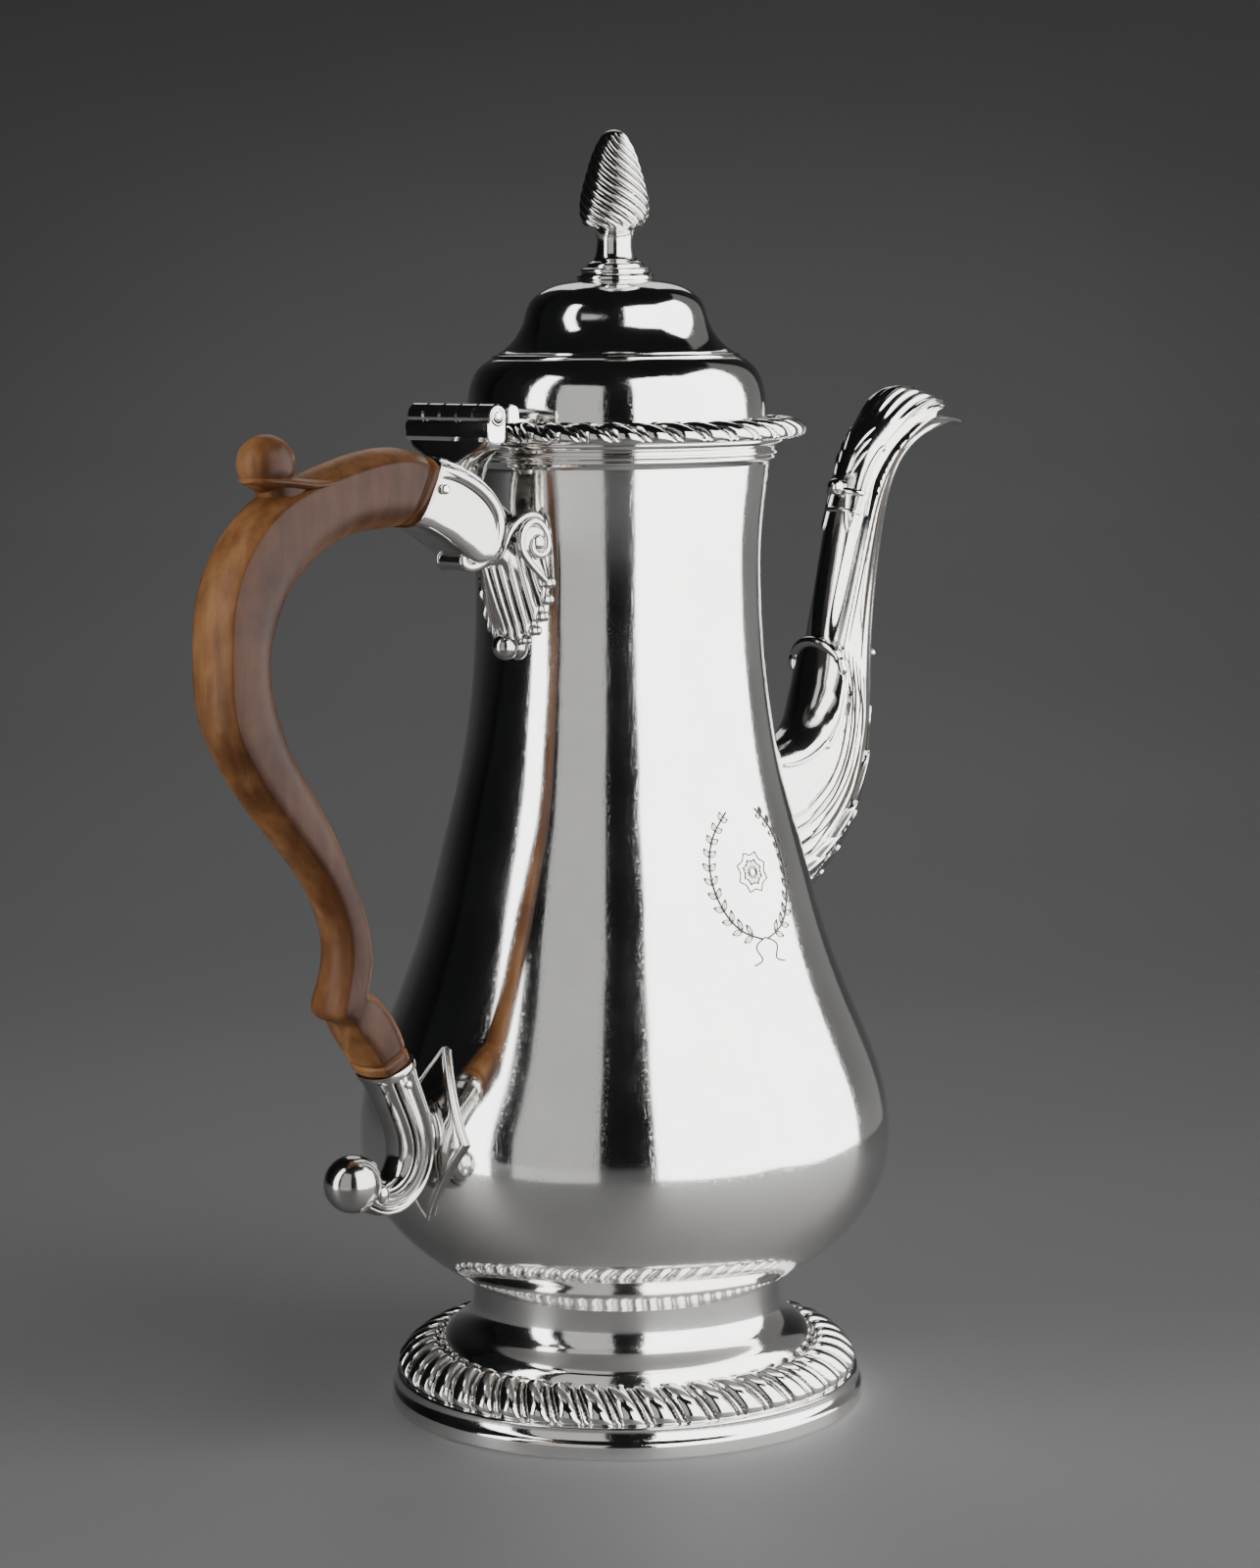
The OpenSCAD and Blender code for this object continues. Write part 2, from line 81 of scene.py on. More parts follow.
def tangents(path):
    return unit(np.gradient(path, axis=0))


def left_of(path):
    """Unit vectors at right angles to a flat path, on its left."""
    t = tangents(path)
    return np.stack([-t[:, 1], t[:, 0]], axis=-1)


def full_turn(count):
    """Equally spaced angles once round."""
    return np.arange(count) * TAU / count


def about_z(r, theta, z):
    """Points at a radius, an angle and a height."""
    return np.stack([r * np.cos(theta), r * np.sin(theta), z], axis=-1)


def squared(angles, power):
    """Cosine and sine of a superellipse: 2 is an oval, more is squarer."""
    c, w = np.cos(angles), np.sin(angles)
    return np.sign(c) * np.abs(c) ** (2 / power), np.sign(w) * np.abs(w) ** (2 / power)


def bell(x, centre, width):
    """A smooth hump of height 1."""
    return np.exp(-((x - centre) / width) ** 2)


def smooth_step(x):
    """0 below 0, 1 above 1, and an even S between them."""
    x = np.clip(x, 0, 1)
    return x * x * (3 - 2 * x)


def grid_faces(rows, cols, close_rows=False, close_cols=True):
    """Quads over a grid of points stored row by row."""
    faces = []
    for i in range(rows if close_rows else rows - 1):
        k = (i + 1) % rows
        for j in range(cols if close_cols else cols - 1):
            m = (j + 1) % cols
            faces.append((i * cols + j, i * cols + m, k * cols + m, k * cols + j))
    return faces


def folded_sheet(front, back):
    """A sheet with two sides, from equal grids of points, closed along all four edges."""
    rows, cols = front.shape[:2]
    faces = grid_faces(2 * rows, cols, close_rows=True, close_cols=False)
    for edge in (0, cols - 1):
        for i in range(rows - 1):
            j, k = 2 * rows - 1 - i, 2 * rows - 2 - i
            faces.append((i * cols + edge, (i + 1) * cols + edge, k * cols + edge, j * cols + edge))
    return np.concatenate([front, back[::-1]]), faces


def make(name, parts, material, body="root", replaces=(), sharp=35):
    """One object from a list of (points, faces) parts, riding on a body.

    Edges that turn by more than sharp degrees stay crisp.
    """
    verts, faces = [], []
    for points, part_faces in parts:
        base = len(verts)
        verts.extend(map(tuple, np.asarray(points, float).reshape(-1, 3) * MM))
        faces.extend(tuple(base + i for i in f) for f in part_faces)
    mesh = bpy.data.meshes.new(name)
    mesh.from_pydata(verts, [], faces)
    bm = bmesh.new()
    bm.from_mesh(mesh)
    bmesh.ops.remove_doubles(bm, verts=bm.verts, dist=SAME_POINT)
    bmesh.ops.dissolve_degenerate(bm, edges=bm.edges, dist=NO_LENGTH)
    bmesh.ops.recalc_face_normals(bm, faces=bm.faces)
    for face in bm.faces:
        face.smooth = True
    for edge in bm.edges:
        if len(edge.link_faces) == 2 and edge.calc_face_angle(0) > math.radians(sharp):
            edge.smooth = False
    bm.to_mesh(mesh)
    bm.free()
    mesh.materials.append(material)
    piece = bpy.data.objects.new(name, mesh)
    bpy.context.collection.objects.link(piece)
    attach(piece, body)
    for node in replaces:
        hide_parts(node)
    return piece


def lathe(profile, segments=288):
    """A closed profile of [radius, height] turned about Z."""
    p = np.array(profile, float)
    r = np.repeat(p[:, :1], segments, axis=1)
    z = np.repeat(p[:, 1:2], segments, axis=1)
    return about_z(r, full_turn(segments), z), grid_faces(len(p), segments, close_rows=True)


def frames_along(path, hint):
    """Side and up vectors that turn as little as possible along a path."""
    t = tangents(path)
    up = np.zeros_like(t)
    u = np.array(hint, float)
    for i in range(len(t)):
        u = unit(u - t[i] * np.dot(u, t[i]))
        up[i] = u
    return np.cross(t, up), up


def sweep(path, radius, sides, hint=(0, 0, 1), oval=1.0, ends=True):
    """A tube along a path. radius may vary along it; oval stretches it sideways."""
    path = np.asarray(path, float)
    radius = np.broadcast_to(np.asarray(radius, float), (len(path),))
    side, up = frames_along(path, hint)
    a = full_turn(sides)
    ring = (np.cos(a)[None, :, None] * side[:, None] * oval + np.sin(a)[None, :, None] * up[:, None])
    points = path[:, None] + ring * radius[:, None, None]
    faces = grid_faces(len(path), sides)
    if ends:
        last = (len(path) - 1) * sides
        faces.append(tuple(range(sides)))
        faces.append(tuple(last + j for j in reversed(range(sides))))
    return points, faces


def ball(centre, radius, segments, stretch=(1, 1, 1)):
    """A sphere, or an egg where it is stretched along the axes."""
    rows = segments // 2
    lat = np.linspace(-math.pi / 2, math.pi / 2, rows + 1)
    lon = full_turn(segments)
    points = np.stack([np.outer(np.cos(lat), np.cos(lon)), np.outer(np.cos(lat), np.sin(lon)),
                       np.outer(np.sin(lat), np.ones(segments))], axis=-1)
    points = points * np.array(stretch, float) * radius + np.array(centre, float)
    return points, grid_faces(rows + 1, segments)


def loft(rings):
    """A closed solid through rings with equally many points."""
    rings = np.asarray(rings, float)
    rows, cols = rings.shape[:2]
    faces = grid_faces(rows, cols)
    faces.append(tuple(range(cols)))
    faces.append(tuple((rows - 1) * cols + j for j in reversed(range(cols))))
    return rings, faces


def mirrored(part):
    """The same part on the other side of the XZ plane."""
    points = np.array(part[0], float) * (1, -1, 1)
    return points, [tuple(reversed(f)) for f in part[1]]


def both(part):
    return [part, mirrored(part)]


def pin(x, z, reach, radius):
    """A round wire across the pot, as long on both sides of the XZ plane."""
    return sweep([(x, -reach, z), (x, reach, z)], radius, 28)


def wall(outline, thickness):
    """A profile that follows the outline and comes back inside it."""
    p = np.array(outline, float)
    inside = p + left_of(p) * thickness
    inside[:, 0] = np.maximum(inside[:, 0], 0)
    return np.concatenate([p, inside[::-1]])


def waves(points, size, height, seed):
    """Slow unevenness of hand-raised metal, in millimetres, at each point."""
    flat = points.reshape(-1, 3)
    values = [noise.noise(Vector(q) / size + Vector((seed, seed, seed))) for q in flat]
    return np.array(values).reshape(points.shape[:-1]) * height


# ---- materials --------------------------------------------------------------

WHITE = (1, 1, 1)
BLACK = (0, 0, 0)


def fill(node, link, settings):
    """Set a node's inputs and properties. A socket is linked; an underscore stands for a space."""
    for key, value in settings.items():
        name = key.replace("_", " ")
        if name not in node.inputs.keys():
            setattr(node, key, value)
        elif isinstance(value, bpy.types.NodeSocket):
            link(value, node.inputs[name])
        else:
            node.inputs[name].default_value = value
    return node


def node_tree(name):
    """A new material, with functions that fill its shader and add a filled node."""
    material = bpy.data.materials.new(name)
    material.use_nodes = True
    tree = material.node_tree

    def surface(**settings):
        fill(tree.nodes["Principled BSDF"], tree.links.new, settings)

    def add(kind, **settings):
        return fill(tree.nodes.new("ShaderNode" + kind), tree.links.new, settings)

    return material, surface, add


def noise_at(add, place, **settings):
    return add("TexNoise", Vector=place, **settings).outputs["Fac"]


def ramp(add, factor, stops):
    """Colours read off between (place, colour) stops."""
    node = add("ValToRGB", Fac=factor)
    elements = node.color_ramp.elements
    while len(elements) < len(stops):
        elements.new(0.5)
    for element, (place, colour) in zip(elements, stops):
        element.position = place
        element.color = (*colour, 1)
    return node.outputs["Color"]


def blend(add, first, second, factor=1.0, kind="MULTIPLY"):
    mix = add("Mix", data_type="RGBA", blend_type=kind, Factor=factor, A=first, B=second)
    return mix.outputs["Result"]


def range_map(add, value, low, high, **limits):
    """A factor turned into a value between low and high."""
    return add("MapRange", Value=value, To_Min=low, To_Max=high, **limits).outputs["Result"]


def scaled_sum(add, value, scale, base):
    """value times scale, plus base."""
    node = add("Math", operation="MULTIPLY_ADD")
    links = node.id_data.links
    links.new(value, node.inputs[0])
    node.inputs[1].default_value = scale
    links.new(base, node.inputs[2])
    return node.outputs["Value"]


def scratches(add, place, stretch, turn, seed):
    """Fine straight handling marks: strongly stretched noise, cut down to its crests."""
    moved = add("Mapping", Vector=place, Scale=stretch, Rotation=turn,
                Location=(seed, seed * 0.7, seed * 1.3))
    lines = noise_at(add, moved.outputs["Vector"], Scale=1.0, Detail=3.0, Roughness=0.7)
    return ramp(add, lines, [(0.60, BLACK), (0.68, WHITE)])


def silver(name, tint=(0.93, 0.915, 0.89), rough=0.055, relief=False, scratch=0.5):
    """Polished sterling: clean metal, faint cloudiness, handling scratches, darker in the recesses, where the
    darkening is partly tarnish and partly painted shade.
    """
    material, surface, add = node_tree(name)
    place = add("TexCoord").outputs["Object"]
    cloud = noise_at(add, place, Scale=55.0, Detail=5.0, Roughness=0.6)
    dull = tuple(c * 0.93 for c in tint)
    colour = ramp(add, cloud, [(0.35, dull), (0.7, tint)])
    upright = scratches(add, place, (2600, 2600, 60), (0.2, 0.35, 0.0), 3.0)
    lying = scratches(add, place, (120, 2400, 2400), (0.0, 0.6, 0.9), 11.0)
    marks = blend(add, upright, lying, kind="LIGHTEN")
    shine = range_map(add, cloud, rough, rough + 0.06, From_Min=0.3, From_Max=0.75)
    roughness = scaled_sum(add, marks, 0.10 * scratch, shine)
    if relief:
        # Where the surface is hollow, its colour is pulled towards near-black and it turns rougher: partly
        # tarnish, partly painted shade in the recesses.
        hollow = add("NewGeometry").outputs["Pointiness"]
        tarnish_and_shade = ramp(add, hollow, [(0.44, WHITE), (0.497, BLACK)])
        colour = blend(add, colour, (0.07, 0.06, 0.05, 1), tarnish_and_shade, "MIX")
        roughness = scaled_sum(add, tarnish_and_shade, 0.22, roughness)
    bump = add("Bump", Strength=0.06 * scratch, Distance=0.0002, Height=marks)
    surface(Metallic=1.0, Base_Color=colour, Roughness=roughness, Normal=bump.outputs["Normal"])
    return material


def fruitwood(name):
    """Waxed fruitwood: straight grain, dark mottling where hands have been, soft gloss, painted shade on the
    flanks and in hollows, and painted highlights on the ridges.
    """
    material, surface, add = node_tree(name)
    place = add("TexCoord").outputs["Object"]
    leaning = add("Mapping", Vector=place, Rotation=(0, 0.22, 0), Scale=(1.0, 1.0, 0.10)).outputs["Vector"]
    grain = noise_at(add, leaning, Scale=620.0, Detail=7.0, Roughness=0.62, Distortion=0.5)
    bands = noise_at(add, leaning, Scale=130.0, Detail=3.0, Roughness=0.5, Distortion=1.1)
    warm = ramp(add, bands, [(0.30, (0.29, 0.122, 0.042)), (0.50, (0.44, 0.20, 0.072)),
                             (0.70, (0.58, 0.30, 0.125))])
    fine = ramp(add, grain, [(0.36, (0.52, 0.44, 0.38)), (0.60, WHITE)])
    colour = blend(add, warm, fine, 0.3)
    patches = noise_at(add, place, Scale=52.0, Detail=4.0, Roughness=0.55)
    dark = ramp(add, patches, [(0.38, (0.42, 0.34, 0.33)), (0.58, WHITE)])
    colour = blend(add, colour, dark, 0.85)
    # The flanks, which face sideways, are darker and more purple than the crowned outer face: painted shade
    # on the sides.
    facing = add("SeparateXYZ", Vector=add("TexCoord").outputs["Normal"])
    sideways = add("Math", operation="ABSOLUTE", Value=facing.outputs["Y"]).outputs["Value"]
    flank = ramp(add, sideways, [(0.60, WHITE), (0.92, (0.42, 0.36, 0.44))])
    colour = blend(add, colour, flank)
    # Darker where the surface is hollow and lighter than white on ridges and arrises: painted shade and
    # painted highlight.
    edges = ramp(add, add("NewGeometry").outputs["Pointiness"],
                 [(0.42, (0.35, 0.3, 0.27)), (0.5, WHITE), (0.58, (1.25, 1.18, 1.1))])
    colour = blend(add, colour, edges, 0.8)
    bump = add("Bump", Strength=0.18, Distance=0.0003, Height=grain)
    surface(Base_Color=colour, Roughness=range_map(add, grain, 0.30, 0.50), Normal=bump.outputs["Normal"],
            Specular_IOR_Level=0.16, Coat_Weight=0.05, Coat_Roughness=0.22)
    return material


def plain_floor(name):
    """Matt pale grey with a faint unevenness."""
    material, surface, add = node_tree(name)
    tone = noise_at(add, add("TexCoord").outputs["Object"], Scale=3.0, Detail=2.0)
    surface(Base_Color=ramp(add, tone, [(0.3, (0.25, 0.25, 0.255)), (0.7, (0.275, 0.275, 0.28))]),
            Roughness=0.55)
    return material


SILVER = silver("silver_polished")
# The cast ornaments' silver is a dimmer copy of the polished silver: its lower tint is painted shade.
CAST_SHADED = silver("silver_cast_painted_shade", tint=(0.80, 0.785, 0.76), relief=True, rough=0.07)
# A still darker copy of the polished silver for the sockets, the shell and the plate: its low tint is painted
# shade.
SHADED_SILVER = silver("silver_painted_shade", tint=(0.60, 0.585, 0.565), relief=True, rough=0.10)
# Near-black silver laid in the grooves of the spout, the upper socket and the shell: partly tarnish, partly
# painted shade.
GROOVE_TARNISH_AND_SHADE = silver("silver_groove_tarnish_and_shade", tint=(0.06, 0.052, 0.045), rough=0.35, scratch=0.2)
ENGRAVED = silver("silver_engraved", tint=(0.085, 0.08, 0.075), rough=0.45, scratch=0.2)
WOOD = fruitwood("fruitwood_waxed")


# ---- body -------------------------------------------------------------------

MOUTH_R = 34.6
MOUTH_Z = 221.5
WALL = 1.0
BELLY = [
    (35.6, 28.6), (45.3, 34.8), (54.4, 43.2), (59.6, 52.4), (61.05, 62), (59.6, 74),
    (54.4, 88.3), (47.4, 106.3), (41.0, 129.5), (36.8, 146.2), (33.8, 165.3),
    (32.5, 187.6), (33.0, 203), (34.1, 212), (34.6, 216)
]
BASE = [(0, 24.4), (20, 25.0), (34.6, 27.9)]
body_line = spline(BELLY, 150)


def body_radius(z):
    """Outer radius of the body at a height above the foot."""
    return np.interp(z, body_line[:, 1], body_line[:, 0])


def body_mesh():
    """The raised wall, with the slow unevenness that hammering leaves."""
    outline = np.concatenate([BASE, body_line, [(MOUTH_R, MOUTH_Z)]])
    points, faces = lathe(wall(outline, WALL), 300)
    z = points[..., 2]
    lift = waves(points, 17.0, 0.055, 5.0) + waves(points, 6.0, 0.012, 9.0)
    lift *= np.clip((z - 32) / 12, 0, 1) * np.clip((214 - z) / 8, 0, 1)
    return points + unit(points * (1, 1, 0)) * lift[..., None], faces


def strainer():
    """Cutters for a hexagonal field of round holes behind the spout."""
    pitch, z0, rows, radius, sides = 4.4, 131, 2, 1.5, 20
    from_x, to_x = 30, 50
    parts = []
    a = full_turn(sides)
    for row in range(-rows, rows + 1):
        count = 2 * rows - abs(row)
        for k in range(count + 1):
            y, z = (k - count / 2) * pitch, z0 + row * pitch * 0.866
            ring = np.stack([np.zeros(sides), y + radius * np.cos(a), z + radius * np.sin(a)], axis=-1)
            parts.append(loft([ring + (from_x, 0, 0), ring + (to_x, 0, 0)]))
    return parts


def build_body():
    """The pierced body and the moulded wire round its mouth."""
    body = make("body_silver", [body_mesh()], SILVER, replaces=["body"])
    holes = make("strainer_cutter", strainer(), SILVER)
    cut = body.modifiers.new("strainer", "BOOLEAN")
    cut.solver = "EXACT"
    cut.object = holes
    graph = bpy.context.evaluated_depsgraph_get()
    mesh = bpy.data.meshes.new_from_object(body.evaluated_get(graph))
    body.modifiers.clear()
    body.data = mesh
    bpy.data.objects.remove(holes)
    rim = [(34.5, 221.5), (37.4, 221.5), (37.7, 221.2), (37.7, 220.8), (37.4, 220.4), (36.7, 220.0),
           (36.2, 219.5), (35.9, 219.0), (36.2, 218.9), (36.45, 218.6), (36.45, 218.1), (36.2, 217.8),
           (35.7, 217.7), (35.9, 217.5), (35.95, 217.1), (35.7, 216.8), (35.2, 216.6), (34.9, 216.2),
           (34.4, 215.4)]
    make("rim_moulding_silver", [lathe(rim, 288)], SILVER, replaces=["rim_moulding"], sharp=50)


# ---- foot -------------------------------------------------------------------

FLANGE = [(43.6, 12.4), (47.2, 11.4), (50.4, 9.2), (51.8, 7.0)]


def gadroons(line, inside, count, twist, height, lobe_steps, round_end):
    """A border of lobes with a thin rib between each pair, leaning as they run outwards."""
    line = np.array(line, float)
    normal = left_of(line)
    if normal[len(line) // 2, 1] < 0:
        normal = -normal
    s = np.linspace(0, 1, len(line))
    swell = np.minimum(1, s / 0.16) ** 0.7 * np.minimum(1, (1 - s) / round_end) ** 0.5
    lean = twist * (0.75 * s + 0.25 * np.sin(s * math.pi / 2) ** 2)
    segments = count * lobe_steps
    theta = full_turn(segments)
    phase = (theta[None, :] * count / TAU - lean[:, None]) % 1.0
    lobe_w, rib_at, rib_w, rib_height, sunk = 0.70, 0.85, 0.095, 0.5, 0.3
    lobe = np.sqrt(np.clip(1 - ((phase - lobe_w / 2) / (lobe_w / 2)) ** 2, 0, 1)) ** 0.9
    rib = rib_height * np.sqrt(np.clip(1 - ((phase - rib_at) / rib_w) ** 2, 0, 1))
    lift = (np.maximum(lobe, rib) * (height + sunk) - sunk) * swell[:, None]
    r = line[:, :1] + normal[:, :1] * lift
    z = line[:, 1:] + normal[:, 1:] * lift
    back = np.array(inside, float)
    r = np.concatenate([r, np.repeat(back[:, :1], segments, axis=1)])
    z = np.concatenate([z, np.repeat(back[:, 1:], segments, axis=1)])
    return about_z(r, theta, z), grid_faces(len(r), segments, close_rows=True)


def build_foot():
    """The spool with its flange, the gadroon border and the ring that the pot stands on."""
    spool = spline([(35.6, 28.6), (35.6, 24.5), (36.2, 21.3), (38.0, 18.8), (40.6, 17.0), (42.4, 15.0),
                    (42.9, 13.3)], 70)
    flange = spline(FLANGE, 24)
    outline = np.concatenate([spool, [(43.3, 12.7)], flange])
    make("foot_spool_silver", [lathe(wall(outline, -WALL), 288)], SILVER, replaces=["foot_spool"])
    crown = spline([(43.3, 12.6), (44.2, 13.2), (46.4, 13.1), (49.2, 11.9), (51.3, 9.9), (52.2, 8.3),
                    (52.3, 7.1)], 44)
    make("foot_gadroon_silver", [gadroons(crown, FLANGE[::-1], 46, 0.75, 1.25, 20, 0.14)], CAST_SHADED,
         replaces=["foot_gadroon"], sharp=60)
    ring = np.concatenate([
        [(50.2, 0), (54.5, 0)],
        spline([(54.7, 0.3), (54.7, 2.0), (54.65, 3.3)], 8),
        spline([(54.3, 3.7), (53.7, 4.3), (53.35, 5.2), (53.2, 6.1)], 14),
        [(53.5, 6.3), (53.6, 6.7), (53.4, 7.0), (52.9, 7.15), (52.2, 7.15), (50.2, 7.0)]])
    make("foot_rim_silver", [lathe(ring, 320)], SILVER, replaces=["foot_rim"], sharp=45)


# ---- lid --------------------------------------------------------------------

def build_lid():
    """The two-stage dome, its gadroon border and the collar of the finial."""
    lower = spline([(33.9, 222.5), (33.9, 227.5), (33.6, 231.0), (32.8, 234.4), (30.8, 237.7),
                    (28.7, 239.3)], 60)
    upper = spline([(25.9, 241.1), (23.7, 243.0), (22.2, 245.0), (21.2, 247.0), (20.4, 249.6), (19.4, 251.9),
                    (17.6, 253.8), (14.8, 255.4), (11.0, 256.4), (0.1, 256.98)], 90)
    step = [(28.2, 239.45), (28.15, 239.8), (27.9, 240.15), (27.5, 240.35), (27.1, 240.4), (26.8, 240.35),
            (26.6, 240.75)]
    side = np.concatenate([lower, step, upper])
    points, faces = lathe(wall(side, WALL), 288)
    lift = waves(points, 12.0, 0.03, 21.0)
    points = points + unit(points * (1, 1, 0.4)) * lift[..., None]
    make("lid_dome_silver", [(points, faces)], SILVER, body="lid", replaces=["lid_dome"])
    line = spline([(35.9, 224.6), (37.2, 225.0), (39.2, 224.9), (40.9, 224.1), (41.9, 222.9),
                   (42.0, 221.9)], 34)
    back = [(41.3, 221.5), (41.2, 222.5), (34.2, 222.5), (34.2, 224.6), (34.6, 225.2), (35.3, 225.3)]
    make("lid_gadroon_silver", [gadroons(line, back, 38, 1.0, 1.0, 22, 0.2)], CAST_SHADED, body="lid",
         replaces=["lid_gadroon"], sharp=60)
    collar = [
        (1.3, 256.6), (7.9, 256.4), (8.5, 256.7), (8.72, 257.1), (8.72, 257.6), (8.4, 258.0), (7.8, 258.25),
        (7.7, 258.5), (7.9, 258.7), (7.95, 259.0), (7.7, 259.3), (7.2, 259.5), (6.6, 259.6), (1.3, 259.6)
    ]
    make("finial_collar_silver", [lathe(collar, 160)], SILVER, body="lid", replaces=["finial_collar"],
         sharp=60)


def build_finial():
    """A fluted egg whose flutes wind round it, on a waisted stem."""
    stem = spline([(6.5, 259.6), (6.35, 260.3), (5.2, 261.1), (4.5, 262.2), (4.15, 263.8), (4.1, 265.6),
                   (4.5, 266.9), (5.3, 267.9)], 30)
    egg = spline([(5.3, 267.9), (6.8, 269.0), (7.7, 270.6), (7.95, 272.6), (7.85, 274.6), (7.2, 277.7),
                  (6.15, 281.3), (4.95, 284.9), (3.35, 288.0), (1.8, 289.7), (0.02, 290.2)], 150)
    turns_per_mm, flutes, depth = 12.5 / 360, 13, 1.0
    egg_from, egg_to = 267.9, 290.3
    line = np.concatenate([[(0.02, 259.6)], stem, egg[1:]])
    segments = flutes * 22
    theta = full_turn(segments)
    z = line[:, 1:2]
    grow = np.clip((z - egg_from) / 1.6, 0, 1) * np.clip((egg_to - z) / 2.2, 0, 1) ** 0.6
    phase = (theta[None, :] / TAU + (z - 268) * turns_per_mm) * flutes
    ridge = np.abs(np.sin(phase * math.pi)) ** 0.75
    r = line[:, :1] - depth * grow * (1 - ridge) * np.clip(line[:, :1] / 5, 0.25, 1)
    points = about_z(r, theta, np.repeat(z, segments, axis=1))
    make("finial_silver", [(points, grid_faces(len(line), segments))], CAST_SHADED, body="lid", replaces=["finial"],
         sharp=70)


# ---- spout ------------------------------------------------------------------

# Stations from inside the body to the lip: inner point x, z, outer point x, z, half width.
SPOUT = spline([
    (38, 146.5, 38, 103, 11.5), (48, 147.5, 53, 108.5, 11.2), (57.5, 151.0, 62, 115.0, 10.6),
    (62.5, 157.0, 70.3, 122.5, 9.8), (64.5, 163.0, 76.0, 131.5, 9.1), (65.3, 168.5, 79.2, 143.0, 8.5),
    (66.0, 174.5, 80.4, 157.0, 7.9), (67.2, 181.5, 81.2, 170.0, 7.4), (69.2, 190.0, 82.8, 182.5, 7.0),
    (71.6, 199.5, 85.2, 194.5, 6.6), (74.2, 208.0, 88.0, 204.5, 6.4), (78.0, 216.5, 92.2, 212.5, 6.7),
    (84.0, 223.6, 98.6, 217.6, 7.0), (91.0, 228.2, 105.2, 219.9, 6.9), (98.8, 229.6, 111.8, 220.9, 6.1),
    (106.0, 227.4, 117.6, 221.4, 4.8)], 500)


def along(s, *pairs):
    """A value that changes with the place s: pairs of (place, value)."""
    return np.interp(s, [q[0] for q in pairs], [q[1] for q in pairs])


def band_edge(s):
    """Angle of the crest between the round inner half and the fluted outer half."""
    return along(s, (0.33, 38), (0.38, 44), (0.52, 62), (0.63, 74), (0.72, 84), (0.78, 94), (0.85, 99),
                 (0.92, 97))


def flute_edge(s):
    """Angle at which the wide flute of each flank ends."""
    return along(s, (0.4, 122), (0.55, 128), (0.7, 136), (0.9, 140))


def spout_relief(s, a):
    """Height of the cast ornament over the plain tube, at the angle a from the inner side."""
    a = np.abs(a)
    upper = np.clip((s - 0.36) / 0.06, 0, 1) * np.clip((0.94 - s) / 0.05, 0, 1)
    edge = band_edge(s)
    far = flute_edge(s)
    depth = along(s, (0.36, 0.3), (0.52, 0.8), (0.63, 1.1), (0.72, 1.6), (0.85, 2.1), (0.94, 1.2))
    lift = -upper * depth * smooth_step((a - edge + 36) / 20) * np.clip((edge + 2 - a) / 17, 0, 1)
    lift += upper * 0.35 * bell(a, edge + 3, 5)
    lift += upper * (-0.55 * bell(a, (edge + far) / 2 + 4, (far - edge) * 0.26) + 0.35 * bell(a, far, 6))
    line = along(s, (0.5, 86), (0.6, 88), (0.69, 98), (0.76, 112), (0.82, 121), (0.88, 128))
    lift -= upper * np.clip((s - 0.5) / 0.03, 0, 1) * 0.28 * bell(a, line, 2.2)
    lower = np.clip((0.42 - s) / 0.07, 0, 1)
    first = along(s, (0.095, 73), (0.13, 70), (0.17, 69), (0.21, 66), (0.26, 61), (0.32, 59), (0.36, 53),
                  (0.42, 44))
    second = along(s, (0.1, 94), (0.14, 89), (0.24, 87), (0.3, 81), (0.42, 86))
    for crest, height in ((first, 0.38), (0.55 * first + 0.45 * second, 0.30), (second, 0.42),
                          (second + 11, 0.35)):
        lift += lower * height * (bell(a, crest, 2.4) - 0.7 * bell(a, crest + 4.4, 2.2))
    scroll = along(s, (0.06, 0.2), (0.13, 0.8), (0.20, 1.9), (0.26, 2.9), (0.35, 3.1), (0.358, 2.9),
                   (0.366, 0))
    lift += scroll * smooth_step((hook_edge(s) + 4 - a) / 8)
    leaf = np.clip((s - 0.715) / 0.03, 0, 1) * np.clip((leaf_edge(s) - a) / 7, 0, 1)
    lift += leaf * 0.55 + 1.7 * leaf * bell(s, 0.935, 0.06) * np.cos(np.radians(a) / 2) ** 2
    for k in range(6):
        rib = k * 15.5
        tip = leaf * np.clip((s - 0.83 - 0.006 * k) / 0.05, 0, 1)
        lift += tip * (0.62 * bell(a, rib, 3.6) - 0.30 * bell(a, rib + 7.7, 3.2))
    return lift


def hook_edge(s):
    """Angle at which the scroll on the root's inner side ends."""
    return along(s, (0.06, 34), (0.126, 41), (0.18, 44), (0.25, 50), (0.31, 51), (0.345, 45), (0.366, 36))


def leaf_edge(s):
    """Angle at which the leaf on the upper inner side ends."""
    return along(s, (0.70, 46), (0.745, 49), (0.77, 53), (0.80, 66), (0.835, 78), (0.89, 82), (0.97, 86))


def spout_point(s, a, lift=0.0, relief=True):
    """Point on the outside of the spout at s along it and a degrees round it from its inner side."""
    s, a = np.broadcast_arrays(np.asarray(s, float), np.asarray(a, float))
    rows = np.linspace(0, 1, len(SPOUT))
    tx, tz, bx, bz, w = (np.interp(s, rows, SPOUT[:, k]) for k in range(5))
    if relief:
        lift = lift + spout_relief(s, a)
    rad = np.radians(a)
    cx, cz, ux, uz = (tx + bx) / 2, (tz + bz) / 2, (tx - bx) / 2, (tz - bz) / 2
    half = np.hypot(ux, uz)
    grow = (half + lift) / half
    return np.stack([cx + ux * np.cos(rad) * grow, (w + lift) * np.sin(rad), cz + uz * np.cos(rad) * grow],
                    axis=-1)


def on_spout(knots, count, lift=0.0):
    """A smooth path over the spout through (s, angle) knots."""
    way = spline(knots, count)
    return spout_point(way[:, 0], way[:, 1], lift)


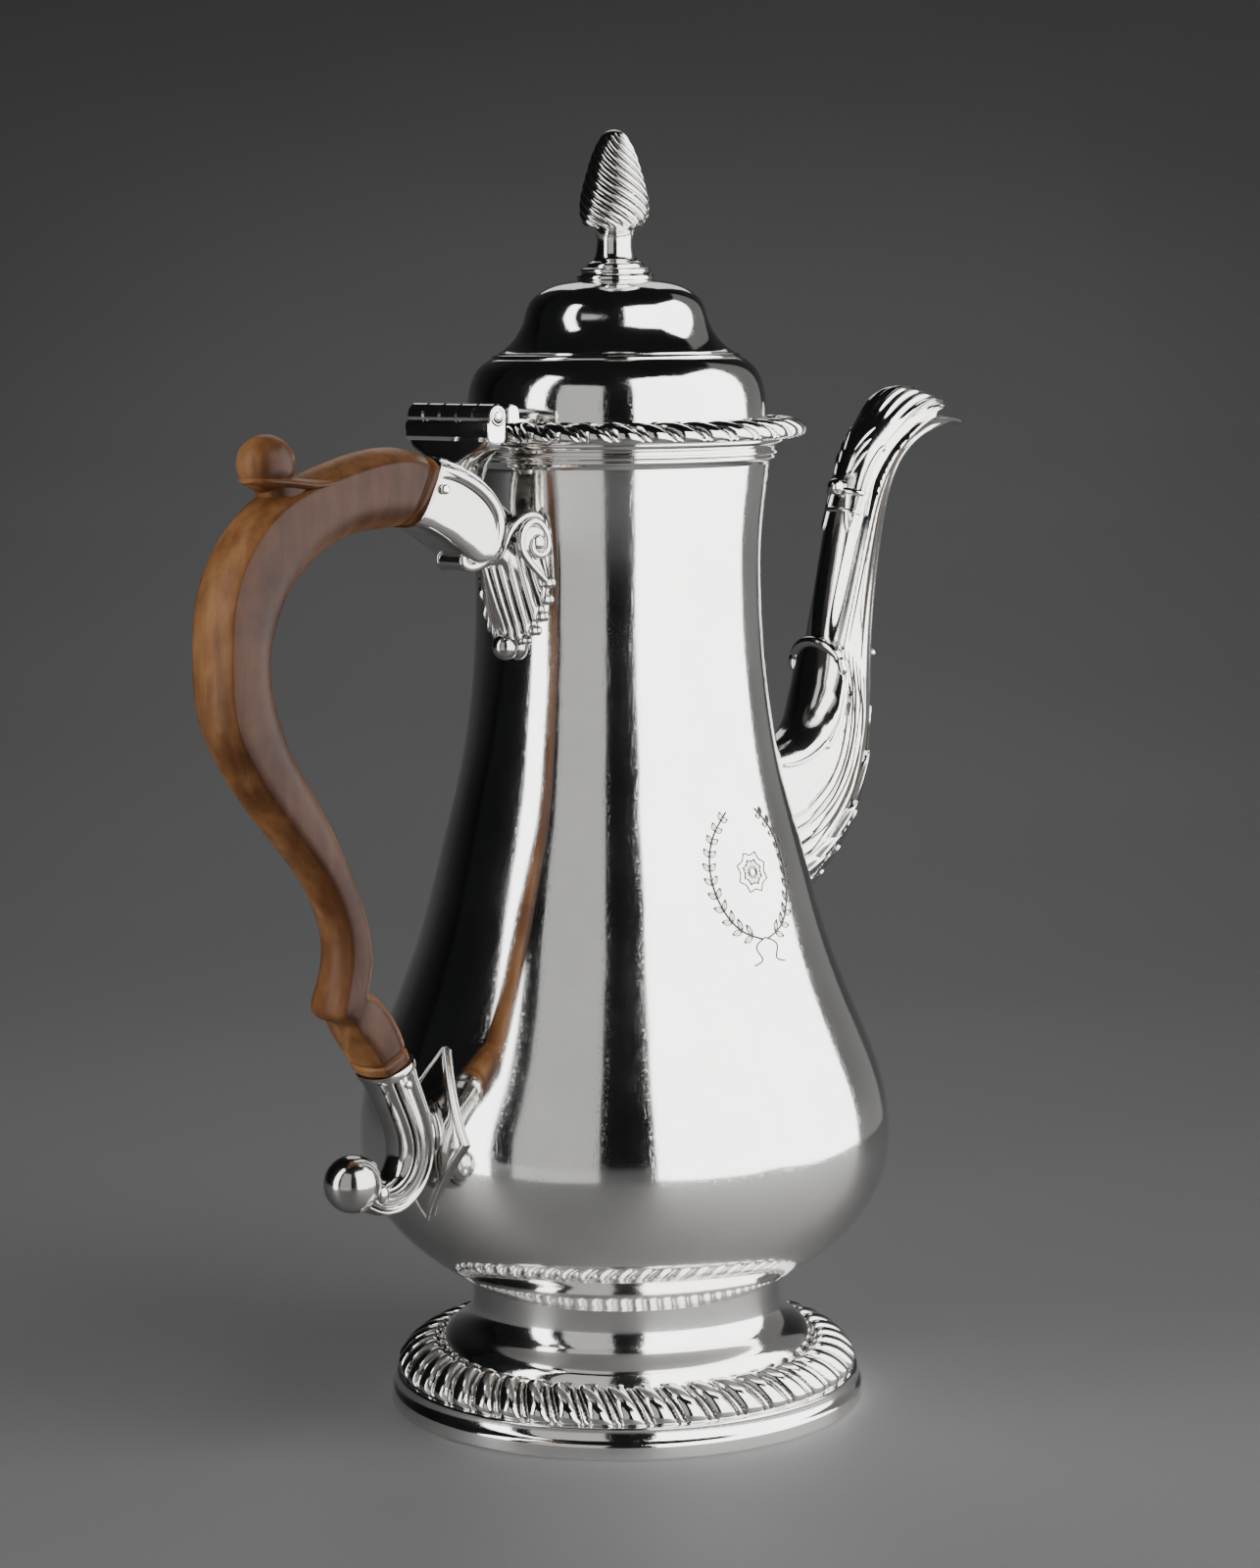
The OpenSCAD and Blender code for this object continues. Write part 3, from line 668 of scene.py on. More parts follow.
def spout_start(a):
    """Where the tube leaves the body, at each angle."""
    s = np.linspace(0.0, 0.3, 301)[:, None]
    p = spout_point(s, np.broadcast_to(a, (301, len(a))), relief=False)
    outside = np.hypot(p[..., 0], p[..., 1]) > body_radius(p[..., 2]) - 0.5
    return s[np.argmax(outside, axis=0), 0]


def mouth_edge(a):
    """How far the wall runs at each angle: a short upper edge, a notch, then the gutter of the lower lip."""
    return np.interp(a, [0, 60, 84, 95, 102, 110, 118, 128, 140, 155, 180],
                     [.962, .956, .945, .922, .912, .918, .945, .972, .987, .996, 1.0])


def spout_shell():
    """The tube itself: a long lower lip, open sides and a toothed upper edge at the mouth."""
    rows, cols = 270, 180
    a = np.arange(cols) * 360 / cols - 180
    begin = spout_start(a)[None, :]
    t = np.linspace(0, 1, rows)[:, None]
    turn = np.abs(a)
    teeth = 0.012 * np.abs(np.cos(np.radians(turn / 15.5 * 180 / 2))) * (turn < 88)
    end = mouth_edge(turn) + teeth
    s = begin + (end[None, :] - begin) * t
    outer = spout_point(s, np.broadcast_to(a, s.shape))
    thick = 1.1 - 0.5 * np.clip((t - 0.8) / 0.2, 0, 1)
    inner = spout_point(s, np.broadcast_to(a, s.shape), -thick, relief=False)
    inner[-3:] = inner[-3:] * 0.6 + outer[-3:] * 0.4
    points = np.concatenate([outer, inner[::-1]])
    return points, grid_faces(len(points), cols, close_rows=True)


def spout_leaf(s0, s1, angle, half_angle, rise):
    """One leaf of the capping: it lies on the tube and its tip stands off, overlapping the next."""
    t = np.linspace(0, 1, 26)[:, None]
    v = np.linspace(-1, 1, 15)[None, :]
    wide = half_angle * np.sqrt(np.clip(1 - (2 * t - 0.75) ** 2 / 1.5625, 0, 1)) * (1 - t ** 6)
    s = s0 + (s1 - s0) * (t - 0.10 * v ** 2 * t)
    a = angle + wide * v
    crown = rise * (0.25 + 0.75 * t ** 1.5) * (1 - 0.55 * np.abs(v) ** 1.6)
    vein = 0.22 * bell(v, 0, 0.16) * np.sin(t * math.pi)
    top = spout_point(s, a, crown + vein + 0.15)
    under = spout_point(s, a, np.minimum(crown * 0.35 - 0.5, 0.3))
    return folded_sheet(top, under)


def build_spout():
    """The tube and the cast ornament on it."""
    make("spout_silver", [spout_shell()], CAST_SHADED, replaces=["spout"], sharp=55)
    trims = []
    # Rolled edge of the scroll: over its top and down each side.
    over = spout_point(np.full(60, 0.356), np.linspace(-42, 42, 60), 0.1)
    trims.append(sweep(over, 1.2, 18))
    ridge = on_spout([(0.356, -40), (0.345, -47), (0.312, -54), (0.255, -53), (0.19, -47), (0.125, -43),
                      (0.08, -38)], 90, 0.25)
    trims += both(sweep(ridge, np.linspace(1.15, 0.5, 90), 16))
    # Border of the upper leaf, and the thinner line under it.
    border = on_spout([(0.714, -20), (0.718, -49), (0.744, -51), (0.77, -54), (0.80, -67), (0.835, -79),
                       (0.88, -82), (0.935, -86)], 90, 0.1)
    trims += both(sweep(border, np.linspace(0.62, 0.45, 90), 12))
    under = on_spout([(0.678, -30), (0.68, -52), (0.70, -68), (0.735, -75), (0.775, -76), (0.82, -84)], 60,
                     0.05)
    trims += both(sweep(under, np.linspace(0.60, 0.30, 60), 12))
    # Two rings across the inner side, with a bead between them, where the leaf begins.
    collar = spout_point(np.full(40, 0.714), np.linspace(-52, 52, 40), 0.35)
    trims.append(sweep(collar, 0.85, 14))
    ring = spout_point(np.full(40, 0.679), np.linspace(-56, 56, 40), 0.15)
    trims.append(sweep(ring, 0.65, 14))
    trims.append(ball((72.6, 0, 207.6), 2.05, 40))
    # Rounded edge of the pouring lip.
    lip = np.linspace(103, 180, 60)
    trims += both(sweep(spout_point(mouth_edge(lip) - 0.003, lip, -0.35), 0.55, 14))
    for k in range(3):
        step, turn = 0.022 * k, 4 * k
        vein = on_spout([(0.742 + step, -22 + turn), (0.764 + step, -28 + turn),
                         (0.787 + step, -38 + turn)], 24, 0.1)
        trims += both(sweep(vein, 0.38 * np.sin(np.linspace(0.2, 2.9, 24)), 10))
    make("spout_mouldings_silver", trims, CAST_SHADED, sharp=60)
    # Capping on the outer side: rows of overlapping leaves, as angle, half angle and places of the tips.
    leaves = []
    rows_of_tips = ((180, 17, (0.455, 0.375, 0.300, 0.235, 0.180)),
                    (147, 13, (0.415, 0.340, 0.270, 0.210, 0.160)),
                    (121, 11, (0.330, 0.250, 0.190, 0.140)))
    for angle, wide, tips in rows_of_tips:
        for tip in tips:
            leaf = spout_leaf(max(tip - 0.095, 0.05), tip, -angle, wide, 0.95)
            leaves += [leaf] if angle == 180 else both(leaf)
    knop = spout_leaf(0.40, 0.492, 180, 40, 1.5)
    leaves += [knop, ball(spout_point(0.49, 180, 1.0), 1.15, 28)]
    leaves += both(ball(spout_point(0.487, -146, 0.7), 0.95, 28))
    make("spout_leaves_silver", leaves, CAST_SHADED, sharp=50)
    # Dark lines in the hollows between the ribs, first on the upper half and then round the root: partly
    # tarnish, partly painted shade.
    lines = []
    s = np.linspace(0.44, 0.90, 90)
    fade = np.sin(np.linspace(0.1, math.pi - 0.1, 90)) ** 0.5
    far = flute_edge(s)
    for place, size in (((band_edge(s) + far) / 2 + 4, 0.42), (band_edge(s) + 8, 0.28), (far + 9, 0.3)):
        lines += both(sweep(spout_point(s, place), size * fade, 10))
    s = np.linspace(0.10, 0.42, 70)
    fade = np.sin(np.linspace(0.1, math.pi - 0.1, 70)) ** 0.5
    for offset, size in ((0, 0.3), (7, 0.26), (14, 0.3), (21, 0.3), (28, 0.32)):
        way = along(s, (0.095, 77), (0.17, 73), (0.26, 66), (0.36, 58), (0.42, 50))
        way = way + offset * np.linspace(0.8, 1.3, 70)
        lines += both(sweep(spout_point(s, way), size * fade, 10))
    make("spout_recesses_silver", lines, GROOVE_TARNISH_AND_SHADE, sharp=60)
    # Leafy wire that hides the solder line between spout and body.
    angle = np.linspace(-180, 180, 361)
    root = spout_point(spout_start(angle) + 0.006, angle, 0.1, relief=False)
    lobes = 0.7 + 0.6 * np.abs(np.sin(np.radians(angle) * 6.5)) ** 0.8
    foliage = [sweep(root[:-1], lobes[:-1], 14)]
    foliage += both(ball(spout_point(0.07, -24, 0.2, relief=False), 1.7, 32))
    make("spout_root_leaf_silver", foliage, CAST_SHADED, sharp=60)


# ---- handle -----------------------------------------------------------------

# Stations of the grip: outer arris x, z, inner edge x, z, half width, crown of the outer face.
GRIP = [(-57.6, 216.6, -64.6, 204.8, 6.3, 2.6), (-66.5, 218.5, -70.8, 204.4, 6.8, 3.0),
        (-76, 218.0, -77.0, 204, 7, 3.0), (-86.5, 215.7, -82.5, 202.9, 7, 2.6),
        (-94, 213.4, -87.5, 200.7, 7, 2.5), (-101.2, 210.1, -92.8, 197.4, 7, 2.7),
        (-108.6, 203.8, -97.4, 192.8, 7, 2.2), (-114.5, 193.8, -101.0, 186.6, 6.9, 1.8),
        (-116.4, 180.5, -103.4, 177.8, 6.9, 1.5), (-115.5, 166.5, -101.9, 168.2, 6.8, 1.9),
        (-110.0, 155.4, -98.2, 158.9, 6.6, 2.6), (-101.4, 144.2, -91.5, 148.2, 6.3, 2.7),
        (-92.0, 132.8, -84.3, 135.2, 6, 2.4), (-86.2, 121.8, -78.8, 121.4, 5.7, 2.2),
        (-84.8, 113, -77.4, 112.6, 5.7, 2.2), (-86.5, 106.2, -78.1, 108.4, 5.9, 2.2),
        (-87.5, 102.8, -78.7, 106.6, 6.1, 1.9), (-87.3, 101.0, -78.6, 105.6, 6.0, 1.5),
        (-85.4, 100.0, -77.4, 105.0, 5.6, 1.2), (-84.0, 98.6, -75.7, 103.9, 5.6, 1.2),
        (-82.7, 96.6, -73.7, 101.8, 6.0, 1.4), (-80.8, 94.0, -71.4, 98.6, 6.3, 1.5),
        (-78.4, 90.4, -69.3, 94.4, 6.3, 1.5), (-76.2, 86.8, -67.6, 90.2, 6.1, 1.4)]


def grip_ring(station, shrink=0.0):
    """A crowned outer face between two arrises, flat flanks and a rounded inner side."""
    ox, oz, ix, iz, half, crown = station
    inner, outer = np.array([ix, iz]), np.array([ox, oz])
    depth = np.linalg.norm(outer - inner)
    out = (outer - inner) / depth
    across = np.linspace(-1, 1, 21)
    face = np.stack([across * (half - 0.25), depth + crown * (1 - across ** 2)], axis=-1)
    flank = np.array([[half, depth - 0.35], [half + 0.12, depth * 0.8], [half + 0.05, depth * 0.62]])
    turn = np.linspace(0.06, 1, 15) * math.pi / 2
    round_side = np.stack([half * np.cos(turn) ** 0.8, 0.58 * depth * (1 - np.sin(turn) ** 0.9)], axis=-1)
    right = np.concatenate([flank, round_side])
    left = right[:-1][::-1] * (-1, 1)
    ring = np.concatenate([face, right, left])
    middle = np.array([0, depth / 2])
    ring = middle + (ring - middle) * (1 - shrink / half)
    return np.stack([ix + out[0] * ring[:, 1], ring[:, 0], iz + out[1] * ring[:, 1]], axis=-1)


def grip_mesh():
    """The grip, with a groove and a bead near the ends that meet the silver."""
    count = 560
    way = spline(GRIP, count)
    middle = (way[:, 0:2] + way[:, 2:4]) / 2
    run = np.concatenate([[0], np.cumsum(np.linalg.norm(np.diff(middle, axis=0), axis=1))])
    shrink = 0.8 * (bell(run, 2.4, 0.6) + bell(run, run[-1] - 2.6, 0.5))
    return loft([grip_ring(row, amount) for row, amount in zip(way, shrink)])


def build_grip():
    """The scroll grip with its thumb rest."""
    # Tongue that carries the thumb rest, with a cove under it.
    tongue = spline([(-83.5, 215.6, 6.7, 0.8), (-88, 214.8, 7.0, 1.3), (-92, 214.5, 7.1, 1.4),
                     (-96, 214.9, 7.0, 1.4), (-100, 215.4, 6.5, 1.4), (-103, 215.7, 5.6, 1.3),
                     (-105.4, 215.9, 4.0, 1.0), (-106.7, 216.0, 2.0, 0.6)], 60)
    line = tongue[:, :2]
    normal = left_of(line)
    turn = full_turn(40)
    rings = [np.stack([x + n[0] * t * np.sin(turn), w * np.sign(np.cos(turn)) * np.abs(np.cos(turn)) ** 0.7,
                       z + n[1] * t * np.sin(turn)], axis=-1)
             for (x, z), n, w, t in zip(line, normal, tongue[:, 2], tongue[:, 3])]
    thumb = ball((-101.2, 0, 219.2), 6.25, 72, (1, 1, 0.98))
    neck = oval_loft([(-102.0, 206.0, -89.0, 206.0, 5.8), (-102.0, 211.0, -89.0, 211.0, 5.8),
                      (-102.4, 212.4, -89.5, 212.4, 5.8), (-102.8, 213.6, -90.0, 213.6, 5.7),
                      (-103.4, 214.8, -90.0, 214.8, 5.7)], 30, 2.2)
    make("grip_wood", [grip_mesh(), loft(rings), neck, thumb], WOOD, replaces=["handle_grip"], sharp=38)


# ---- upper socket -----------------------------------------------------------

# Places of the pins that hold the tenons of the grip: x, z.
UPPER_PIN = (-58.1, 212.4)
LOWER_PIN = (-70.5, 84.2)


def oval_loft(stations, count, power, sides=56, relief=None, snap=False):
    """A solid through squared ovals: each station is outer x, z, inner x, z, half width.

    relief(degrees, place) raises the surface, and snap lays the last ring on the body.
    """
    way = spline(stations, count)
    turn = full_turn(sides)
    c, w = squared(turn, power)
    rings = []
    for k, (ox, oz, ix, iz, half) in enumerate(way):
        grow = np.ones(sides) if relief is None else 1 + relief(np.degrees(turn), k / (count - 1)) / half
        mx, mz, ux, uz = (ox + ix) / 2, (oz + iz) / 2, (ox - ix) / 2, (oz - iz) / 2
        rings.append(np.stack([mx + ux * c * grow, half * w * grow, mz + uz * c * grow], axis=-1))
    rings = np.array(rings)
    if snap:
        y, z = rings[-1][:, 1], rings[-1][:, 2]
        rings[-1][:, 0] = -np.sqrt(np.maximum((body_radius(z) - 0.5) ** 2 - y ** 2, 0))
    return loft(rings)


def ribbon(knots, count, width, thick, side):
    """A raised band along knots (x, distance from the XZ plane, z), on one side of the pot."""
    way = spline(knots, count) * (1, side, 1)
    ends = np.sin(np.linspace(0.12, math.pi - 0.12, count)) ** 0.25
    return sweep(way, thick * ends, 20, (0, -side, 0), oval=width / thick)


def build_upper_socket():
    """A bordered horn with a rolled end, the seat of the hinge, and the pin."""
    horn = oval_loft([(-57.2, 218.9, -64.6, 204.5, 6.6), (-54.4, 218.0, -61.6, 203.6, 6.7),
                      (-51.0, 216.0, -58.6, 202.2, 7.0), (-47.0, 213.4, -55.6, 200.6, 7.2),
                      (-43.2, 210.0, -53.2, 199.0, 7.3), (-40.2, 206.0, -51.4, 197.8, 7.2),
                      (-38.7, 201.8, -50.2, 196.9, 6.9), (-39.3, 198.0, -49.4, 196.4, 6.4),
                      (-41.6, 195.4, -48.9, 196.2, 5.6), (-44.8, 194.4, -48.3, 196.2, 4.6)], 100, 4.4)
    lip = oval_loft([(-57.5, 219.2, -64.9, 204.3, 6.7), (-57.2, 219.3, -64.6, 204.2, 6.85),
                     (-56.9, 219.1, -64.2, 204.2, 6.7)], 12, 3.4)
    roll = sweep([(-48.9, -4.0, 196.3), (-48.9, 4.0, 196.3)], 2.2, 36)
    pieces = [horn, lip, roll]
    rim = [(-58.2, 5.6, 216.9), (-55.9, 5.9, 216.3), (-51.6, 6.5, 214.5), (-47.4, 6.8, 212.0),
           (-44.2, 6.9, 209.0), (-42.2, 6.7, 205.4), (-41.9, 6.4, 201.6), (-43.2, 5.7, 198.2),
           (-45.6, 4.8, 195.8), (-48.3, 4.1, 194.9), (-50.2, 3.9, 195.8), (-50.2, 3.9, 197.5),
           (-48.7, 4.0, 198.2)]
    inset = [(-58.4, 6.3, 214.9), (-55.8, 6.55, 214.6), (-51.4, 6.8, 212.9), (-48.0, 6.95, 210.8),
             (-45.4, 7.0, 208.3), (-43.8, 6.9, 205.2), (-43.6, 6.65, 201.9), (-44.7, 6.05, 199.1),
             (-46.6, 5.3, 197.3)]
    lines = []
    for side in (-1, 1):
        pieces.append(ribbon(rim, 130, 1.3, 1.0, side))
        # The inset line is a dark strip in the groove: partly tarnish, partly painted shade.
        lines.append(ribbon(inset, 90, 0.6, 0.42, side))
        pieces.append(ribbon([(-56.4, 3.6, 218.6), (-51.6, 4.4, 216.8), (-46.6, 5.0, 213.8),
                              (-42.4, 5.3, 209.8), (-39.6, 5.3, 205.0), (-38.7, 5.0, 200.6),
                              (-40.2, 4.4, 197.0), (-43.4, 3.7, 194.7)], 90, 0.75, 0.75, side))
        pieces.append(ribbon([(-63.0, 4.9, 205.2), (-59.6, 5.2, 203.7), (-56.0, 5.2, 201.7),
                              (-52.8, 4.9, 199.6), (-50.4, 4.4, 198.0)], 50, 0.4, 0.4, side))
        pieces.append(ball((-48.4, 3.5 * side, 196.6), 1.15, 28))
    # Trumpet-shaped seat of the hinge, with a small strut on each side of it.
    turn = full_turn(64)
    rings = []
    for x0, x1, half, z, power in spline([
            (-50.9, -46.4, 13.3, 222.6, 7), (-51.0, -46.2, 12.8, 221.2, 6), (-51.3, -45.8, 10.6, 219.8, 4.4),
            (-51.8, -45.3, 7.9, 218.3, 3.2), (-52.3, -44.9, 6.0, 216.8, 2.6), (-52.7, -44.7, 5.1, 215.0, 2.2),
            (-53.0, -44.6, 4.9, 211.8, 2.2)], 46):
        c, w = squared(turn, power)
        rings.append(np.stack([(x0 + x1) / 2 + (x1 - x0) / 2 * c, half * w, np.full(64, z)], axis=-1))
    pieces.append(loft(rings))
    for side in (-1, 1):
        pieces.append(ribbon([(-46.4, 11.2, 221.4), (-45.7, 8.2, 219.0), (-45.0, 5.6, 216.6),
                              (-44.8, 4.2, 213.8)], 40, 0.6, 0.5, side))
    make("upper_socket_silver", pieces, SHADED_SILVER, replaces=["upper_socket"], sharp=50)
    make("upper_socket_lines_silver", lines, GROOVE_TARNISH_AND_SHADE, sharp=50)
    x, z = UPPER_PIN
    heads = both(ball((x, -7.3, z), 1.15, 32, (1, 0.6, 1)))
    make("upper_socket_pin_silver", [pin(x, z, 7.35, 0.9)] + heads, CAST_SHADED, replaces=["upper_socket_pin"])


# ---- shell bracket ----------------------------------------------------------

def build_shell():
    """A ribbed shell with beads along its edge, scrolls on both sides and a bead at its foot."""
    rows, cols, ribs = 70, 220, 11
    t = np.linspace(0, 1, rows)[:, None, None]
    u = np.linspace(-1, 1, cols)[None, :, None]
    lobe = np.abs(np.cos(u * ribs * math.pi / 2)) ** 0.8
    start = np.concatenate([-41.4 + 7.2 * np.abs(u) ** 1.3, 7.8 * u, 196.6 + 5.4 * np.abs(u) ** 1.4], axis=-1)
    foot_y, foot_z = 10.6 * u, 178.2 + 12.6 * np.abs(u) ** 3
    foot_x = -np.sqrt((body_radius(foot_z) + 1.0) ** 2 - foot_y ** 2)
    way = np.concatenate([foot_x, foot_y, foot_z], axis=-1) - start
    p = start + way * t * (0.96 + 0.05 * lobe * t ** 4)
    p = p + np.array([-0.5, 0, 0.3]) * np.sin(t * math.pi) * (1 - u ** 2)
    along_t, along_u = np.gradient(p, axis=0), np.gradient(p, axis=1)
    normal = unit(np.cross(along_t, along_u))
    normal *= np.sign((normal * (-1, 0, -0.4)).sum(-1, keepdims=True))
    front = p + normal * (1.8 * lobe - 0.85) * (0.5 + 0.5 * t) + normal * 0.45 * bell(t, 0.97, 0.07) * lobe
    back = p - normal * 1.3
    pieces = [folded_sheet(front, back)]
    grooves = []
    for k in range(2 - ribs, ribs, 2):
        column = round((k / ribs + 1) / 2 * (cols - 1))
        # A dark line down each groove between the ribs: partly tarnish, partly painted shade.
        grooves.append(sweep(front[8:rows - 3, column], 0.4, 8, (1, 0, 0)))
    pieces.append(oval_loft([(-44.5, 204.6, -44.5, 197.8, 3.4), (-41.5, 205.0, -41.0, 196.0, 3.9),
                             (-38.0, 205.2, -37.6, 191.0, 5.0), (-35.2, 205.4, -34.8, 185.0, 6.6),
                             (-33.6, 205.6, -33.4, 182.4, 7.5), (-32.2, 205.6, -32.2, 181.6, 7.9)], 40, 2.6,
                            snap=True))
    for side in (-1, 1):
        scroll = [(-31.2, 10.7, 190.4), (-33.4, 10.4, 192.6), (-36.4, 9.8, 195.8), (-38.3, 9.3, 199.6),
                  (-37.3, 9.2, 203.0), (-34.4, 9.3, 204.6), (-31.9, 9.7, 203.0), (-31.0, 10.1, 200.2),
                  (-31.9, 10.1, 197.7), (-33.9, 9.9, 197.2), (-35.3, 9.7, 198.8), (-34.9, 9.7, 200.6)]
        pieces.append(ribbon(scroll, 130, 0.95, 0.9, side))
        pieces.append(ball((-33.5, 9.6 * side, 199.9), 1.9, 32, (1, 0.7, 1)))
        cheek = [(-37.2, 7.2, 199.4), (-35.0, 7.9, 200.2), (-32.2, 8.4, 200.4)]
        pieces.append(sweep(spline(np.array(cheek) * (1, side, 1), 16), np.linspace(3.2, 4.4, 16), 28,
                            oval=0.42))
        pieces.append(ribbon([(-41.4, 7.6, 199.4), (-40.6, 8.0, 202.0), (-38.4, 8.3, 204.5),
                              (-35.4, 8.5, 205.9), (-32.4, 8.8, 205.5), (-30.6, 9.2, 203.6)], 70, 0.75, 0.7,
                             side))
        for y, z, r in ((10.3, 190.9, 1.3), (9.9, 187.2, 1.25), (8.7, 183.5, 1.2), (6.9, 180.3, 1.15),
                        (4.2, 178.1, 1.0)):
            x = -math.sqrt((body_radius(z) + 0.9) ** 2 - y ** 2)
            pieces.append(ball((x, y * side, z), r, 26))
    pieces.append(ball((-34.9, 0, 176.6), 3.0, 44))
    make("shell_drop_silver", pieces, SHADED_SILVER, replaces=["shell_drop"], sharp=50)
    make("shell_grooves_silver", grooves, GROOVE_TARNISH_AND_SHADE, sharp=50)


# ---- lower socket -----------------------------------------------------------

def build_lower_socket():
    """A ridged scroll that ends in a ball, its rim, its boss and its pin."""
    line = spline([(-71.9, 87.5), (-69.6, 82.2), (-66.9, 76.0), (-65.4, 69.6), (-66.6, 63.8), (-70.4, 59.8),
                   (-75.0, 58.9), (-78.6, 60.4)], 120)
    outwards = left_of(line)
    outwards *= -np.sign(outwards[0, 0])
    run = np.linspace(0, 1, 120)
    thick = along(run, (0, 5.6), (0.1, 5.0), (0.5, 4.5), (0.8, 4.0), (1, 3.4))[:, None]
    wide = along(run, (0, 6.3), (0.1, 6.0), (0.5, 5.6), (0.8, 5.0), (1, 4.2))
    stations = np.column_stack([line + outwards * thick, line - outwards * thick, wide])

    def ridges(a, along_run):
        a = np.minimum(a, 360 - a)
        fade = min(1, along_run / 0.06)
        return fade * (-0.75 * bell(a, 62, 5) + 0.35 * bell(a, 72, 5) - 0.55 * bell(a, 100, 5)
                       + 0.45 * bell(a, 111, 5) - 0.6 * bell(a, 122, 4) + 0.35 * bell(a, 133, 6))

    pieces = [oval_loft(stations, 120, 2.4, sides=144, relief=ridges)]
    pieces.append(ball((-81.7, 0, 63.2), 6.35, 72))
    for side in (-1, 1):
        pieces.append(ball((-76.9, 3.9 * side, 60.6), 1.9, 32, (1, 0.9, 1.2)))
    pieces.append(ball((-78.0, 0, 66.6), 1.9, 32, (0.9, 1.8, 0.9)))
    rim = oval_loft([(-77.6, 85.7, -66.3, 90.1, 6.5), (-77.2, 84.9, -66.0, 89.3, 6.6),
                     (-76.6, 84.2, -65.8, 88.4, 6.4)], 10, 2.4)
    pieces.append(rim)
    # Ridged boss that joins the scroll to its plate.
    profile = [(-66.0, 4.4), (-63.6, 4.4), (-63.2, 5.2), (-62.7, 5.4), (-62.3, 5.0), (-62.0, 5.0),
               (-61.7, 5.7), (-61.2, 5.9), (-60.8, 5.6), (-60.5, 6.2), (-59.7, 6.6)]
    turn, boss_z, taller = full_turn(56), 71.0, 1.25
    pieces.append(loft([np.stack([np.full(56, x), r * np.cos(turn), boss_z + taller * r * np.sin(turn)],
                                 axis=-1) for x, r in profile]))
    make("lower_socket_silver", pieces, SHADED_SILVER, replaces=["lower_socket"], sharp=50)
    x, z = LOWER_PIN
    heads = both(ball((x, -6.2, z), 0.95, 28, (1, 0.5, 1)))
    make("lower_socket_pin_silver", [pin(x, z, 6.3, 0.9)] + heads, CAST_SHADED, replaces=["lower_socket_pin"])


def lozenge(y, z, lift):
    """A point of the handle's side of the body, lifted off it."""
    r = body_radius(z) + lift
    return np.stack([-np.sqrt(r ** 2 - y ** 2), y, z], axis=-1)


def build_plate():
    """Lozenge-shaped plate that follows the body, with a raised border."""
    n = 41
    u, v = np.meshgrid(np.linspace(-1, 1, n), np.linspace(-1, 1, n), indexing="ij")
    up, y = (u + v) / 2, 12.3 * (u - v) / 2
    z = 70 + np.where(up > 0, 19.5, 18.6) * up
    edge = np.maximum(np.abs(u), np.abs(v))
    front = lozenge(y, z, 1.35 - 0.35 * np.clip((edge - 0.93) / 0.07, 0, 1))
    back = lozenge(y, z, -0.6)
    points = np.concatenate([front.reshape(-1, 3), back.reshape(-1, 3)])
    faces = grid_faces(n, n, close_cols=False)
    faces += [tuple(n * n + i for i in reversed(f)) for f in grid_faces(n, n, close_cols=False)]
    rim = [i * n for i in range(n)] + [(n - 1) * n + j for j in range(1, n)]
    rim += [i * n + n - 1 for i in range(n - 2, -1, -1)] + [j for j in range(n - 2, 0, -1)]
    for i, j in zip(rim, rim[1:] + rim[:1]):
        faces.append((i, j, j + n * n, i + n * n))
    corners = [(0, 89.3), (12.1, 70), (0, 51.6), (-12.1, 70), (0, 89.3)]
    pieces = [(points, faces)]
    for (y0, z0), (y1, z1) in zip(corners, corners[1:]):
        k = np.linspace(0, 1, 30)
        pieces.append(sweep(lozenge(y0 + (y1 - y0) * k, z0 + (z1 - z0) * k, 1.15), 0.42, 12, (1, 0, 0)))
    make("handle_plate_silver", pieces, SHADED_SILVER, replaces=["handle_plate"], sharp=40)


# ---- hinge ------------------------------------------------------------------

HINGE_X, HINGE_Z, BARREL, KNUCKLE_R, KNUCKLES = -48.3, 227.8, 27.0, 2.6, 5


def prism(outline, y0, y1, bevel=0.3):
    """An outline of the XZ plane drawn out along Y, with its end edges broken."""
    p = np.array(outline, float)
    middle = p.mean(axis=0)
    reach = np.linalg.norm(p - middle, axis=1, keepdims=True)
    small = middle + (p - middle) * (1 - bevel / np.maximum(reach, 1))
    rings = []
    for q, y in ((small, y0), (p, y0 + bevel), (p, y1 - bevel), (small, y1)):
        rings.append(np.stack([q[:, 0], np.full(len(q), y), q[:, 1]], axis=-1))
    return loft(rings)


def knuckle_span(i):
    """Both ends of a knuckle along Y, with a little play on each side."""
    step, play = BARREL / KNUCKLES, 0.05
    return -BARREL / 2 + i * step + play, -BARREL / 2 + (i + 1) * step - play


def knuckle(i):
    """One length of the hinge's barrel."""
    turn = full_turn(56)
    circle = np.stack([HINGE_X + KNUCKLE_R * np.cos(turn), HINGE_Z + KNUCKLE_R * np.sin(turn)], axis=-1)
    return prism(circle, *knuckle_span(i), bevel=0.4)


